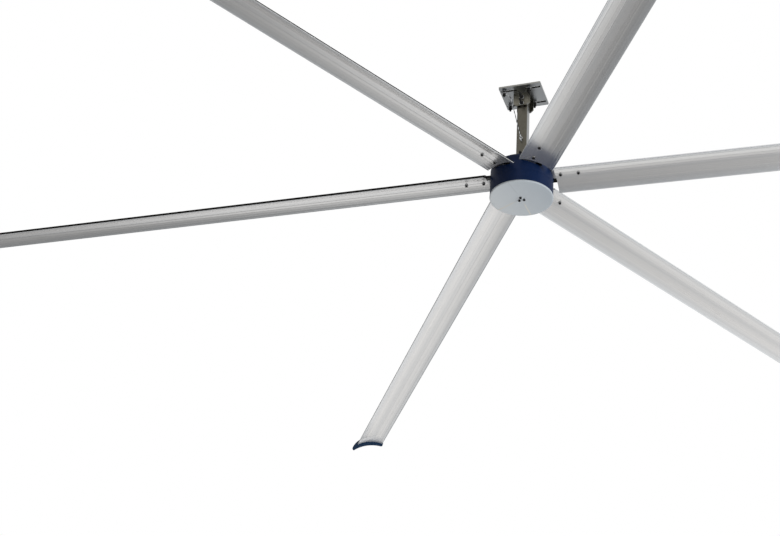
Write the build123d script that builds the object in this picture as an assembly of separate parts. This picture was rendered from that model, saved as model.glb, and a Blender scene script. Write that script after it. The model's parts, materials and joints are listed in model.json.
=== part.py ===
from build123d import *
import math
import os

# Industrial ceiling fan: six long extruded blades on a drum that holds a direct drive motor.
# It hangs from a slotted plate that is clamped under a beam.
# The origin is the centre of that plate's top face. Z points up, X runs along the plate's slots.
# Lengths are in millimetres, angles in degrees.

# Driving dimensions
fan_diameter = 7315.0
blade_count = 6
blade_pitch = 10.8
blade_droop = 0.4
rotor_rest_turn = 2.0
drum_radius = 170.0
tube_length = 460.0
tube_side = 58.0

# Clearances shared by all the pieces
slide_gap = 0.3
run_gap = 0.05
bolt_gap = 0.5
cut_over = 1.0

# Beam plate and its four slots
plate_length = 236.0
plate_depth = 205.0
plate_thickness = 10.0
plate_corner = 6.0
slot_middle_x = 67.5
slot_row_y = 68.0
slot_length = 86.0
slot_width = 13.0

# Clamp bolts that stand in the slots
clamp_bolt_radius = 6.0
clamp_nut_across = 18.0
clamp_top_recess = 0.5
clamp_nut_height = 10.0
clamp_washer_radius = 12.0
clamp_washer_thickness = 2.5
clamp_tail = 8.0
clamp_left_x = 94.0
clamp_right_x = 46.0

# Two cheeks welded under the plate, and the bolts that carry the tube between them
cheek_width = 94.0
cheek_height = 89.5
cheek_thickness = 7.0
cheek_chamfer = 16.0
cheek_play = 6.0
hanger_bolt_radius = 6.0
hanger_head_across = 18.0
hanger_head_height = 7.5
hanger_nut_height = 10.0
hanger_washer_radius = 12.5
hanger_washer_thickness = 2.5
hanger_thread_tail = 32.0
hanger_bolt_drop = 35.5
hanger_bolt_pitch = 40.0

# Square drop tube
tube_top_gap = 8.0
tube_wall = 3.0
tube_corner = 7.0

# Square spigot on the motor shaft, and its cross bolts
spigot_fit = 0.2
spigot_height = 110.0
spigot_wall = 7.5
spigot_corner = 3.5
collar_radius = 40.0
collar_thickness = 12.0
spigot_bolt_rise = 22.0
spigot_bolt_pitch = 36.0
spigot_thread_tail = 14.0
neck_gap = 14.5

# Motor shaft
neck_radius = 22.5
body_radius = 25.0
journal_radius = 15.0
cable_bore_radius = 8.0
cable_outlet_radius = 6.5
shaft_in_spigot = 20.0
stator_flange_radius = 32.0
stator_flange_thickness = 7.0
shaft_nut_radius = 21.0
shaft_nut_height = 8.0
gland_radius = 13.0
gland_height = 7.0

# Drum: cover, lower shell and upper shell
cover_skin = 2.5
cover_rim = 9.0
cover_round = 4.0
seam_gap = 0.8
shell_wall = 3.0
shell_inset = 1.0
lower_shell_height = 66.7
upper_shell_height = 109.7
shoulder_radius = 24.0
dome_thickness = 6.0
floor_thickness = 5.0
floor_rise = 10.0
flange_reach = 24.0
flange_thickness = 8.0
boss_radius = 42.0
boss_floor = 8.0
nut_pocket_radius = 24.0
nut_pocket_gap = 1.0

# Bearings
lower_bearing_radius = 31.0
lower_bearing_width = 16.0
upper_bearing_radius = 42.5
upper_bearing_width = 19.0
seal_inset = 6.0
upper_boss_radius = 52.0
upper_boss_lip = 2.0
bearing_gap = 0.3

# Stator, magnets and back iron
stator_height = 44.0
stator_rise = 42.5
stator_hub_radius = 58.0
tooth_count = 12
tooth_width = 20.0
pole_shoe = 8.0
pole_gap = 8.0
coil_head = 8.0
coil_width = 5.0
coil_end_gap = 2.0
air_gap = 1.5
magnet_thickness = 6.0
magnet_count = 20
magnet_width = 32.0
back_iron_thickness = 12.5
iron_gap = 1.7
back_iron_height = 57.0

# Hub ring that carries the struts
hub_floor_rise = 23.0
hub_height = 50.0
hub_bore_radius = 62.0
hub_skirt_wall = 24.0

# Screws through the drum
post_inset = 15.7
post_radius = 9.0
post_height = 22.0
drum_screw_radius = 4.0
drum_screw_head_radius = 6.5
drum_screw_head = 6.0
cover_screw_circle = 15.5
cover_screw_radius = 3.0
cover_screw_head_radius = 6.0
cover_screw_head = 3.0
cover_screw_count = 3
cover_screw_turn = 25.0

# Blade section, measured across the blade from the line of its bolts
blade_axis_above_seam = 62.0
blade_root_gap = 14.0
front_chord = 72.0
rear_chord = 120.0
underside_rise = 22.0
section_depth = 24.0
edge_thickness = 5.5
edge_round = 2.4
skin = 2.0
web_thickness = 2.0
channel_width = 60.0

# Strut: a root plate clamped on the hub and a tongue inside the blade
strut_plate_thickness = 14.0
strut_post_gap = 8.0
strut_neck_half_width = 46.0
strut_bore_gap = 24.0
strut_neck_length = 38.0
strut_tongue_length = 160.0
strut_merge = 5.0
strut_window_gap = 3.0
strut_screw_radius = 4.0
strut_screw_head_across = 13.0
strut_screw_head = 5.5
strut_screw_depth = 16.0
strut_screw_inset = 20.0
strut_screw_half_pitch = 22.0

# Bolts through each blade and its strut
blade_bolt_first = 27.0
blade_bolt_pitch = 96.0
blade_bolt_radius = 4.0
blade_bolt_head_across = 14.0
blade_bolt_head = 7.0
blade_nut_height = 6.5
blade_washer_radius = 8.5
blade_washer_thickness = 1.6
blade_bolt_tail = 3.0

# End cap of a blade
cap_thickness = 6.0
cap_front_reach = 81.0
cap_tail_reach = 165.0
cap_tail_drop = 60.0
cap_front_drop = 22.0
cap_crown = 25.0
cap_under_front_reach = 66.0
cap_under_front_drop = 51.0
cap_under_tail_reach = 157.0
cap_under_tail_drop = 77.0
cap_under_crown = 38.0
cap_crown_shift = 22.0
cap_nose_round = 10.0
cap_tail_round = 6.0
cap_plug_depth = 20.0
cap_plug_wall = 2.5

# Safety rope and its fittings
rope_diameter = 5.0
lug_radius = 13.0
lug_thickness = 4.0
lug_sleeve_radius = 4.5
lug_sleeve_length = 9.5
guide_wire_radius = 1.6
guide_ring_radius = 5.0
eye_wire_radius = 2.2
eye_ring_radius = 8.0
eye_stem_length = 3.0
end_wire_radius = 1.8
end_eye_radius = 7.0
end_sleeve_radius = 4.2
end_sleeve_length = 15.0
eye_rise = 147.0
rope_end_rise = 32.1

# Heights of the stack, from the beam plate down
plate_under = -plate_thickness
tube_top = plate_under - tube_top_gap
tube_bottom = tube_top - tube_length
collar_bottom = tube_bottom - collar_thickness
drum_top = collar_bottom - neck_gap
upper_shell_bottom = drum_top - upper_shell_height
lower_shell_top = upper_shell_bottom - seam_gap
lower_shell_bottom = lower_shell_top - lower_shell_height
cover_bottom = lower_shell_bottom - seam_gap - cover_rim
shell_radius = drum_radius - shell_inset
shell_inner = shell_radius - shell_wall
eye_height = tube_bottom + eye_rise

# Radii inside the drum
hub_outer = shell_inner - slide_gap
back_iron_outer = hub_outer - hub_skirt_wall - iron_gap
magnet_outer = back_iron_outer - back_iron_thickness
stator_radius = magnet_outer - magnet_thickness - air_gap
post_ring_radius = hub_outer - post_inset
strut_inner_radius = hub_bore_radius + strut_bore_gap
strut_plate_half_width = post_ring_radius * math.sin(math.pi / blade_count) - post_radius - strut_post_gap
blade_root_radius = drum_radius + blade_root_gap

# Heights inside the drum
boss_bottom = cover_bottom + cover_skin
boss_floor_top = boss_bottom + boss_floor
lower_bearing_bottom = boss_floor_top + shaft_nut_height + 2 * nut_pocket_gap
lower_bearing_top = lower_bearing_bottom + lower_bearing_width
stator_bottom = boss_bottom + stator_rise
stator_top = stator_bottom + stator_height
hub_floor = lower_shell_top + hub_floor_rise
hub_top = hub_floor + hub_height
dome_under = drum_top - dome_thickness
upper_bearing_top = dome_under - upper_boss_lip
upper_bearing_bottom = upper_bearing_top - upper_bearing_width
shaft_top = collar_bottom + shaft_in_spigot

# Blade section heights, in the blade's own frame: its zero is the middle of the hub seats
strut_low = -strut_plate_thickness / 2
crown_low = strut_low - slide_gap - skin
edge_low = crown_low - underside_rise
crown_high = crown_low + section_depth
crown_shift = (rear_chord - front_chord) / 2
tip_radius = fan_diameter / 2 - cap_thickness
blade_axis = lower_shell_top + blade_axis_above_seam
bolt_radii = [blade_root_radius + blade_bolt_first, blade_root_radius + blade_bolt_first + blade_bolt_pitch]
blade_turns = [rotor_rest_turn + 360 / blade_count * i for i in range(blade_count)]
post_turns = [turn + 180 / blade_count for turn in blade_turns]

# Hanger places
hanger_y = tube_side / 2 + cheek_play
hanger_bolt_heights = [plate_under - hanger_bolt_drop, plate_under - hanger_bolt_drop - hanger_bolt_pitch]
spigot_bolt_heights = [tube_bottom + spigot_bolt_rise, tube_bottom + spigot_bolt_rise + spigot_bolt_pitch]
clamp_places = [(-clamp_left_x, -slot_row_y), (clamp_right_x, -slot_row_y)]
clamp_places += [(-clamp_left_x, slot_row_y), (clamp_right_x, slot_row_y)]


def disc(radius, low, high, place=(0, 0)):
    """Upright cylinder between two heights."""
    middle = (low + high) / 2
    return Pos(place[0], place[1], middle) * Cylinder(radius, high - low)


def ring(outer, inner, low, high, place=(0, 0)):
    """Upright ring between two heights."""
    return disc(outer, low, high, place) - disc(inner, low - cut_over, high + cut_over, place)


def block(low, high):
    """Box between two opposite corners."""
    sizes = [high[i] - low[i] for i in range(3)]
    middle = [(high[i] + low[i]) / 2 for i in range(3)]
    return Pos(*middle) * Box(*sizes)


def hexagon(across, low, high, place=(0, 0)):
    """Upright hexagon bar between two heights."""
    outline = RegularPolygon(across / 2, 6, major_radius=False)
    return Pos(place[0], place[1], low) * extrude(outline, high - low)


def group(shapes):
    """Separate solids of one kind kept together in one node."""
    return Compound(children=[solid for shape in shapes for solid in shape.solids()])


def turned(shape, angle):
    """Shape turned about the fan's axis."""
    return Rot(0, 0, angle) * shape


def on_blade(shape, angle):
    """Shape moved from a blade's own frame to its place on the fan.

    In that frame X runs out along the blade, Y across it to the trailing edge, Z off its top.
    """
    place = Rot(0, 0, angle) * Pos(0, 0, blade_axis) * Rot(0, blade_droop, 0) * Rot(-blade_pitch, 0, 0)
    return place * shape


def across_bolt(shape, height):
    """Upright shape laid along Y, its head end to the rear, at a height on the fan's axis."""
    return Pos(0, 0, height) * Rot(-90, 0, 0) * shape


def beam_plate():
    """Plate with four slots for the clamp bolts."""
    plate = block((-plate_length / 2, -plate_depth / 2, plate_under), (plate_length / 2, plate_depth / 2, 0))
    plate = fillet(plate.edges().filter_by(Axis.Z), plate_corner)
    for x in (-slot_middle_x, slot_middle_x):
        for y in (-slot_row_y, slot_row_y):
            slot = SlotOverall(slot_length, slot_width)
            plate -= Pos(x, y, plate_under - cut_over) * extrude(slot, plate_thickness + 2 * cut_over)
    return plate


def cheek(side):
    """One upright cheek with its two bolt holes and cut lower corners."""
    inner = side * hanger_y
    outer = side * (hanger_y + cheek_thickness)
    low_y, high_y = min(inner, outer), max(inner, outer)
    bottom = plate_under - cheek_height
    body = block((-cheek_width / 2, low_y, bottom), (cheek_width / 2, high_y, plate_under))
    corners = body.edges().filter_by(Axis.Y).group_by(Axis.Z)[0]
    body = chamfer(corners, cheek_chamfer)
    for height in hanger_bolt_heights:
        hole = Cylinder(hanger_bolt_radius + bolt_gap, 4 * hanger_y)
        body -= across_bolt(hole, height)
    return body


def clamp_bolts():
    """Threaded bolts of the beam clamps: they end just below the plate's top and hang down through it."""
    bolts = []
    low = plate_under - clamp_washer_thickness - 2 * clamp_nut_height - lug_thickness - clamp_tail
    for place in clamp_places:
        bolts.append(disc(clamp_bolt_radius, low, -clamp_top_recess, place))
    return group(bolts)


def clamp_washers():
    """A washer under the plate on each clamp bolt."""
    low = plate_under - clamp_washer_thickness
    hole = clamp_bolt_radius + bolt_gap
    return group([ring(clamp_washer_radius, hole, low, plate_under, place) for place in clamp_places])


def clamp_nuts():
    """A nut and its lock nut under each washer, with room for the rope's lug on the first bolt."""
    nuts = []
    for index, place in enumerate(clamp_places):
        high = plate_under - clamp_washer_thickness
        for step in range(2):
            low = high - clamp_nut_height
            hole = disc(clamp_bolt_radius + run_gap, low - cut_over, high + cut_over, place)
            nuts.append(hexagon(clamp_nut_across, low, high, place) - hole)
            high = low
            if index == 0:
                high = low - lug_thickness
    return group(nuts)


def hanger_pieces():
    """Bolts, washers, nuts and spacers that hold the tube between the cheeks."""
    face = hanger_y + cheek_thickness
    seat = face + hanger_washer_thickness
    tail = seat + hanger_nut_height + hanger_thread_tail
    bolts, washers, nuts, spacers = [], [], [], []
    for height in hanger_bolt_heights:
        shank = disc(hanger_bolt_radius, -tail, seat + hanger_head_height / 2)
        head = hexagon(hanger_head_across, seat, seat + hanger_head_height)
        bolts.append(across_bolt(shank + head, height))
        hole = hanger_bolt_radius + bolt_gap
        washers.append(across_bolt(ring(hanger_washer_radius, hole, face, seat), height))
        washers.append(across_bolt(ring(hanger_washer_radius, hole, -seat, -face), height))
        nut = hexagon(hanger_head_across, -seat - hanger_nut_height, -seat)
        nut -= disc(hanger_bolt_radius + run_gap, -tail, 0)
        nuts.append(across_bolt(nut, height))
        for low, high in ((tube_side / 2, hanger_y), (-hanger_y, -tube_side / 2)):
            spacers.append(across_bolt(ring(hanger_washer_radius, hole, low, high), height))
    return group(bolts), group(washers), group(nuts), group(spacers)


def drop_tube():
    """Square tube with rounded corners and cross holes at both ends."""
    outline = RectangleRounded(tube_side, tube_side, tube_corner)
    inside = tube_side - 2 * tube_wall
    opening = RectangleRounded(inside, inside, tube_corner - tube_wall)
    tube = Pos(0, 0, tube_bottom) * extrude(outline - opening, tube_length)
    for height in hanger_bolt_heights + spigot_bolt_heights:
        tube -= across_bolt(Cylinder(hanger_bolt_radius + bolt_gap, 2 * tube_side), height)
    stem = Cylinder(eye_wire_radius + run_gap, tube_side)
    tube -= Pos(0, -tube_side / 2, eye_height) * Rot(90, 0, 0) * stem
    return tube


def shaft_spigot():
    """Square hollow block in the tube's end on a round collar, bored for the shaft."""
    side = tube_side - 2 * tube_wall - 2 * spigot_fit
    outline = RectangleRounded(side, side, spigot_corner)
    body = Pos(0, 0, tube_bottom) * extrude(outline, spigot_height)
    body += disc(collar_radius, collar_bottom, tube_bottom)
    hollow = side - 2 * spigot_wall
    floor = shaft_top
    room = RectangleRounded(hollow, hollow, spigot_corner)
    body -= Pos(0, 0, floor) * extrude(room, spigot_height + collar_thickness)
    body -= disc(neck_radius + run_gap, collar_bottom - cut_over, floor + run_gap)
    for height in spigot_bolt_heights:
        body -= across_bolt(Cylinder(hanger_bolt_radius + bolt_gap, 2 * tube_side), height)
    return body


def spigot_pieces():
    """Cross bolts, washers and nuts that lock the spigot in the tube."""
    face = tube_side / 2
    seat = face + hanger_washer_thickness
    tail = seat + hanger_nut_height + spigot_thread_tail
    bolts, washers, nuts = [], [], []
    for height in spigot_bolt_heights:
        shank = disc(hanger_bolt_radius, -tail, seat + hanger_head_height / 2)
        head = hexagon(hanger_head_across, seat, seat + hanger_head_height)
        bolts.append(across_bolt(shank + head, height))
        hole = hanger_bolt_radius + bolt_gap
        washers.append(across_bolt(ring(hanger_washer_radius, hole, face, seat), height))
        washers.append(across_bolt(ring(hanger_washer_radius, hole, -seat, -face), height))
        nut = hexagon(hanger_head_across, -seat - hanger_nut_height, -seat)
        nut -= disc(hanger_bolt_radius + run_gap, -tail, 0)
        nuts.append(across_bolt(nut, height))
    return group(bolts), group(washers), group(nuts)


def motor_shaft():
    """Hollow fixed shaft: journal for the lower bearing, body for the stator, neck up to the spigot."""
    shaft = disc(journal_radius, boss_floor_top + nut_pocket_gap, lower_bearing_top)
    shaft += disc(body_radius, lower_bearing_top, upper_bearing_bottom)
    shaft += disc(neck_radius, upper_bearing_bottom, shaft_top)
    shaft += disc(stator_flange_radius, stator_bottom - stator_flange_thickness, stator_bottom)
    outlet_height = stator_top + coil_head + cable_outlet_radius
    shaft -= disc(cable_bore_radius, outlet_height - 2 * cable_outlet_radius, shaft_top + cut_over)
    outlet = Rot(0, 90, 0) * Cylinder(cable_outlet_radius, 2 * body_radius)
    return shaft - Pos(body_radius, 0, outlet_height) * outlet


def shaft_nut():
    """Round slotted nut that holds the lower bearing on its journal."""
    low = boss_floor_top + nut_pocket_gap
    nut = ring(shaft_nut_radius, journal_radius + run_gap, low, low + shaft_nut_height + nut_pocket_gap)
    notch = nut_pocket_radius - shaft_nut_radius
    for turn in range(0, 360, 90):
        corner = shaft_nut_radius - notch
        high = low + shaft_nut_height * 2
        tool = block((corner, -notch, low - cut_over), (nut_pocket_radius, notch, high))
        nut -= turned(tool, turn)
    return nut


def cable_gland():
    """Gland with a bore in the top end of the shaft, where a supply cable goes in."""
    stem = disc(cable_bore_radius - run_gap, shaft_top - gland_height, shaft_top + gland_height / 2)
    body = hexagon(2 * gland_radius - bolt_gap, shaft_top, shaft_top + gland_height)
    bore = disc(cable_bore_radius / 2, shaft_top - gland_height * 2, shaft_top + gland_height * 2)
    return body + stem - bore


def stator_core():
    """Laminated core: a hub, straight teeth and pole shoes with gaps between them."""
    core = disc(stator_hub_radius, stator_bottom, stator_top)
    shoes = ring(stator_radius, stator_radius - pole_shoe, stator_bottom, stator_top)
    for index in range(tooth_count):
        turn = 360 / tooth_count * index
        tooth_end = stator_radius - pole_shoe / 2
        tooth = block((0, -tooth_width / 2, stator_bottom), (tooth_end, tooth_width / 2, stator_top))
        core += turned(tooth, turn)
        gap_end = stator_radius * 2
        gap = block((stator_hub_radius, -pole_gap / 2, stator_bottom), (gap_end, pole_gap / 2, stator_top))
        shoes -= turned(gap, turn + 180 / tooth_count)
    core += shoes
    return core - disc(body_radius + run_gap, stator_bottom - cut_over, stator_top + cut_over)


def stator_coils():
    """One wound coil round each tooth."""
    coils = []
    inner = stator_hub_radius + coil_end_gap
    outer = stator_radius - pole_shoe - coil_end_gap
    half = tooth_width / 2 + slide_gap
    for index in range(tooth_count):
        low = (inner, -half - coil_width, stator_bottom - coil_head)
        high = (outer, half + coil_width, stator_top + coil_head)
        body = block(low, high)
        low = (inner - cut_over, -half, stator_bottom - slide_gap)
        high = (outer + cut_over, half, stator_top + slide_gap)
        coils.append(turned(body - block(low, high), 360 / tooth_count * index))
    return group(coils)


def bearing_rings():
    """Inner and outer rings of both sealed bearings, with their running gap."""
    inner, outer = [], []
    rows = [(journal_radius, lower_bearing_radius, lower_bearing_bottom, lower_bearing_top)]
    rows += [(neck_radius, upper_bearing_radius, upper_bearing_bottom, upper_bearing_top)]
    for bore, rim, low, high in rows:
        split = (bore + rim) / 2
        inner.append(ring(split - bearing_gap, bore + run_gap, low, high))
        outer.append(ring(rim - run_gap, split, low, high))
    return group(inner), group(outer)


def cover_plate():
    """Shallow round pan that closes the drum from below, with three screw holes near its middle."""
    rim_top = cover_bottom + cover_rim
    pan = disc(drum_radius, cover_bottom, rim_top)
    pan = chamfer(pan.edges().group_by(Axis.Z)[0], cover_round)
    pan -= disc(drum_radius - cover_skin, cover_bottom + cover_skin, rim_top + cut_over)
    for place in cover_screw_places():
        pan -= disc(cover_screw_radius + bolt_gap, cover_bottom - cut_over, rim_top, place)
    return pan


def cover_screw_places():
    """Centres of the cover screws on their circle."""
    places = []
    for index in range(cover_screw_count):
        turn = math.radians(rotor_rest_turn + cover_screw_turn + 360 / cover_screw_count * index)
        places.append((cover_screw_circle * math.cos(turn), cover_screw_circle * math.sin(turn)))
    return places


def cover_screws():
    """Flat head screws that hold the cover to the boss of the lower shell."""
    screws = []
    for place in cover_screw_places():
        head = disc(cover_screw_head_radius, cover_bottom - cover_screw_head, cover_bottom, place)
        top = boss_bottom + boss_floor - cut_over
        screws.append(head + disc(cover_screw_radius, cover_bottom - cover_screw_head / 2, top, place))
    return group(screws)


def lower_shell():
    """Lower half of the drum: wall, floor, centre boss for the bearing, and a flange for the screws."""
    shell = disc(shell_radius, lower_shell_bottom, lower_shell_top)
    floor_low = cover_bottom + floor_rise
    shell -= disc(shell_inner, floor_low + floor_thickness, lower_shell_top + cut_over)
    shell -= disc(shell_inner, lower_shell_bottom - cut_over, floor_low)
    flange_low = lower_shell_top - flange_thickness
    shell += ring(shell_radius, shell_inner - flange_reach, flange_low, lower_shell_top)
    shell += disc(boss_radius, boss_bottom, lower_bearing_top)
    shell -= disc(lower_bearing_radius, lower_bearing_bottom, lower_bearing_top + cut_over)
    shell -= disc(nut_pocket_radius, boss_floor_top, lower_bearing_bottom + cut_over)
    thread_top = boss_floor_top - cut_over / 2
    for place in cover_screw_places():
        shell -= disc(cover_screw_radius + run_gap, boss_bottom - cut_over, thread_top, place)
    hole_low = lower_shell_top - 2 * flange_thickness
    hole = disc(drum_screw_radius + bolt_gap, hole_low, lower_shell_top + cut_over)
    for turn in post_turns:
        shell -= turned(Pos(post_ring_radius, 0, 0) * hole, turn)
    return shell


def strut_outline():
    """Plan of a strut's root plate: a neck between its neighbours and a wide shoulder at the blade."""
    neck_end = strut_inner_radius + strut_neck_length
    shoulder_end = blade_root_radius - slide_gap
    neck_length = neck_end + strut_merge - strut_inner_radius
    shoulder_length = shoulder_end - neck_end
    neck = Pos(strut_inner_radius + neck_length / 2, 0) * Rectangle(neck_length, 2 * strut_neck_half_width)
    shoulder = Pos(neck_end + shoulder_length / 2, 0)
    shoulder *= Rectangle(shoulder_length, 2 * strut_plate_half_width)
    return neck + shoulder


def strut_pocket():
    """Room that a strut's root plate needs in the hub ring, open to the top."""
    outline = offset(strut_outline(), slide_gap, kind=Kind.INTERSECTION)
    return Pos(0, 0, strut_low) * extrude(outline, hub_height * 2)


def strut_window():
    """Room that a strut needs where it goes out through the drum's wall."""
    half = strut_plate_half_width + strut_window_gap
    low = (shell_inner - shoulder_radius, -half, strut_low - strut_window_gap)
    high = (shell_radius + shoulder_radius, half, strut_low + strut_plate_thickness + strut_window_gap)
    return block(low, high)


def strut_screw_places():
    """Places of the two screws in a strut's root plate, in the blade's own frame."""
    x = strut_inner_radius + strut_screw_inset
    return [(x, -strut_screw_half_pitch), (x, strut_screw_half_pitch)]


def upper_shell():
    """Upper half of the drum: rounded shoulder, windows for the struts, bearing boss and screw posts."""
    outer = disc(shell_radius, upper_shell_bottom, drum_top)
    outer = fillet(outer.edges().group_by(Axis.Z)[-1], shoulder_radius)
    inner = disc(shell_inner, upper_shell_bottom - cut_over, dome_under)
    inner = chamfer(inner.edges().group_by(Axis.Z)[-1], shoulder_radius - shell_wall)
    shell = outer - inner
    shell += disc(upper_boss_radius, upper_bearing_bottom, dome_under)
    for turn in post_turns:
        post = Pos(post_ring_radius, 0, 0) * disc(post_radius, hub_top, dome_under)
        shell += turned(post, turn)
    shell -= disc(upper_bearing_radius, upper_bearing_bottom - cut_over, upper_bearing_top)
    shell -= disc(seal_radius(), upper_bearing_bottom, drum_top + cut_over)
    for turn in blade_turns:
        shell -= on_blade(strut_window(), turn)
    hole = disc(drum_screw_radius + run_gap, hub_top - cut_over, hub_top + post_height)
    for turn in post_turns:
        shell -= turned(Pos(post_ring_radius, 0, 0) * hole, turn)
    return shell


def seal_radius():
    """Outside of the shaft seal, inside the upper bearing's outer ring."""
    return upper_bearing_radius - seal_inset


def shaft_seal():
    """Lip seal in the drum's top, just clear of the fixed shaft."""
    low = upper_bearing_top + slide_gap
    return ring(seal_radius() - run_gap, neck_radius + slide_gap, low, drum_top)


def hub_ring():
    """Cast ring with six tilted seats for the struts and a skirt round the back iron."""
    ring_body = ring(hub_outer, hub_bore_radius, hub_floor, hub_top)
    ring_body += ring(hub_outer, hub_outer - hub_skirt_wall, lower_shell_top, hub_floor)
    for turn in blade_turns:
        ring_body -= on_blade(strut_pocket(), turn)
        for place in strut_screw_places():
            low = strut_low - strut_screw_depth - cut_over
            tool = disc(strut_screw_radius + run_gap, low, strut_low + cut_over, place)
            ring_body -= on_blade(tool, turn)
    hole = disc(drum_screw_radius + bolt_gap, lower_shell_top - cut_over, hub_top + cut_over)
    for turn in post_turns:
        ring_body -= turned(Pos(post_ring_radius, 0, 0) * hole, turn)
    return ring_body


def drum_screws():
    """Long screws from the lower flange through the hub ring into the posts of the upper shell."""
    head_top = lower_shell_top - flange_thickness
    screws = []
    for turn in post_turns:
        head = disc(drum_screw_head_radius, head_top - drum_screw_head, head_top)
        shank = disc(drum_screw_radius, head_top - drum_screw_head / 2, hub_top + post_height - cut_over)
        screws.append(turned(Pos(post_ring_radius, 0, 0) * (head + shank), turn))
    return group(screws)


def back_iron():
    """Steel ring of the rotor, hung from the hub ring."""
    return ring(back_iron_outer, magnet_outer, hub_floor - back_iron_height, hub_floor)


def magnets():
    """Flat-backed magnets round the inside of the back iron."""
    band = ring(magnet_outer, magnet_outer - magnet_thickness, stator_bottom, stator_top)
    blocks = []
    for index in range(magnet_count):
        low = (0, -magnet_width / 2, stator_bottom)
        high = (magnet_outer * 2, magnet_width / 2, stator_top)
        blocks.append(turned(block(low, high), 360 / magnet_count * index) & band)
    return group(blocks)


def blade_outline():
    """Section across a blade: two arcs that meet in thin square edges."""
    front, rear = -front_chord, rear_chord
    under = ThreePointArc((front, edge_low), (crown_shift, crown_low), (rear, edge_low))
    back = Line((rear, edge_low), (rear, edge_low + edge_thickness))
    top = ThreePointArc((rear, edge_low + edge_thickness), (crown_shift, crown_high),
                        (front, edge_low + edge_thickness))
    nose = Line((front, edge_low + edge_thickness), (front, edge_low))
    return make_face([under, back, top, nose])


def blade_room(clearance):
    """Inside of the blade's skin, drawn in by a clearance."""
    return offset(blade_outline(), -skin - clearance, kind=Kind.INTERSECTION)


def channel(clearance):
    """Middle room of the blade between its two webs, drawn in by a clearance."""
    width = channel_width - 2 * clearance
    return blade_room(clearance) & Rectangle(width, 2 * section_depth)


def along_blade(outline, start, end):
    """Section across the blade carried out from one radius to another."""
    plane = Plane(origin=(start, 0, 0), x_dir=(0, 1, 0), z_dir=(1, 0, 0))
    return extrude(plane * outline, end - start)


def blade_body():
    """Hollow extruded blade with rounded edges, two inner webs and its bolt holes."""
    web_middle = (channel_width + web_thickness) / 2
    room = blade_room(0)
    for side in (-1, 1):
        room -= Pos(side * web_middle, 0) * Rectangle(web_thickness, 4 * section_depth)
    outside = fillet(blade_outline().vertices(), edge_round)
    blade = along_blade(outside - room, blade_root_radius, tip_radius)
    for radius in bolt_radii:
        blade -= Pos(radius, 0, 0) * Cylinder(blade_bolt_radius + bolt_gap, 4 * section_depth)
    return blade


def strut_body():
    """Strut: flat root plate with its screw holes, and the tongue that fills the blade's channel."""
    plate = Pos(0, 0, strut_low) * extrude(strut_outline(), strut_plate_thickness)
    end = blade_root_radius + strut_tongue_length
    tongue = along_blade(channel(slide_gap), blade_root_radius - strut_merge, end)
    strut = plate + tongue
    for radius in bolt_radii:
        strut -= Pos(radius, 0, 0) * Cylinder(blade_bolt_radius + bolt_gap, 4 * section_depth)
    for place in strut_screw_places():
        strut -= Pos(place[0], place[1], 0) * Cylinder(strut_screw_radius + bolt_gap, 4 * section_depth)
    return strut


def strut_screws():
    """Hexagon screws that hold every strut down on its seat."""
    screws = []
    top = strut_low + strut_plate_thickness
    for turn in blade_turns:
        for place in strut_screw_places():
            head = hexagon(strut_screw_head_across, top, top + strut_screw_head, place)
            tip = strut_low - strut_screw_depth
            shank = disc(strut_screw_radius, tip, top + strut_screw_head / 2, place)
            screws.append(on_blade(head + shank, turn))
    return group(screws)


def skin_height(rise, crown, reach, y):
    """Height of a blade arc at a place across the blade."""
    radius = (rise * rise + reach * reach) / (2 * rise)
    return crown - radius + math.sqrt(radius * radius - (y - crown_shift) ** 2)


def blade_bolt_seats():
    """Heights of the two washers' seats: the lowest of the underside and the highest of the top."""
    reach = (front_chord + rear_chord) / 2
    low = skin_height(underside_rise, crown_low, reach, -blade_washer_radius)
    top_rise = crown_high - edge_low - edge_thickness
    high = skin_height(top_rise, crown_high, reach, blade_washer_radius)
    return low, high


def blade_fasteners():
    """Bolts up through each blade and strut, their washers under the head, and the nuts on top."""
    low, high = blade_bolt_seats()
    bolts, nuts = [], []
    head_top = low - blade_washer_thickness
    nut_low = high
    bolt_top = nut_low + blade_nut_height + blade_bolt_tail
    for turn in blade_turns:
        for radius in bolt_radii:
            place = (radius, 0)
            bolt = hexagon(blade_bolt_head_across, head_top - blade_bolt_head, head_top, place)
            bolt += disc(blade_washer_radius, head_top, low, place)
            bolt += disc(blade_bolt_radius, head_top - blade_bolt_head / 2, bolt_top, place)
            bolts.append(on_blade(bolt, turn))
            nut = hexagon(blade_bolt_head_across, nut_low, nut_low + blade_nut_height, place)
            nut -= disc(blade_bolt_radius + run_gap, nut_low - cut_over, bolt_top, place)
            nuts.append(on_blade(nut, turn))
    return group(bolts), group(nuts)


def cap_outline():
    """Crescent of an end cap: it stands out below the blade and ends in a drooping rounded tail."""
    under = ThreePointArc((-cap_under_front_reach, -cap_under_front_drop),
                          (cap_crown_shift, -cap_under_crown),
                          (cap_under_tail_reach, -cap_under_tail_drop))
    tail = Line((cap_under_tail_reach, -cap_under_tail_drop), (cap_tail_reach, -cap_tail_drop))
    top = ThreePointArc((cap_tail_reach, -cap_tail_drop), (cap_crown_shift, cap_crown),
                        (-cap_front_reach, -cap_front_drop))
    nose = Line((-cap_front_reach, -cap_front_drop), (-cap_under_front_reach, -cap_under_front_drop))
    outline = make_face([under, tail, top, nose])
    outline = fillet(outline.vertices().sort_by(Axis.X)[:2], cap_nose_round)
    return fillet(outline.vertices().sort_by(Axis.X)[-2:], cap_tail_round)


def end_cap():
    """End cap with a hollow plug that is pressed into the blade's channel."""
    outside = channel(slide_gap)
    plug = outside - offset(outside, -cap_plug_wall, kind=Kind.INTERSECTION)
    plate = along_blade(cap_outline(), tip_radius, tip_radius + cap_thickness)
    return plate + along_blade(plug, tip_radius - cap_plug_depth, tip_radius)


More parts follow.
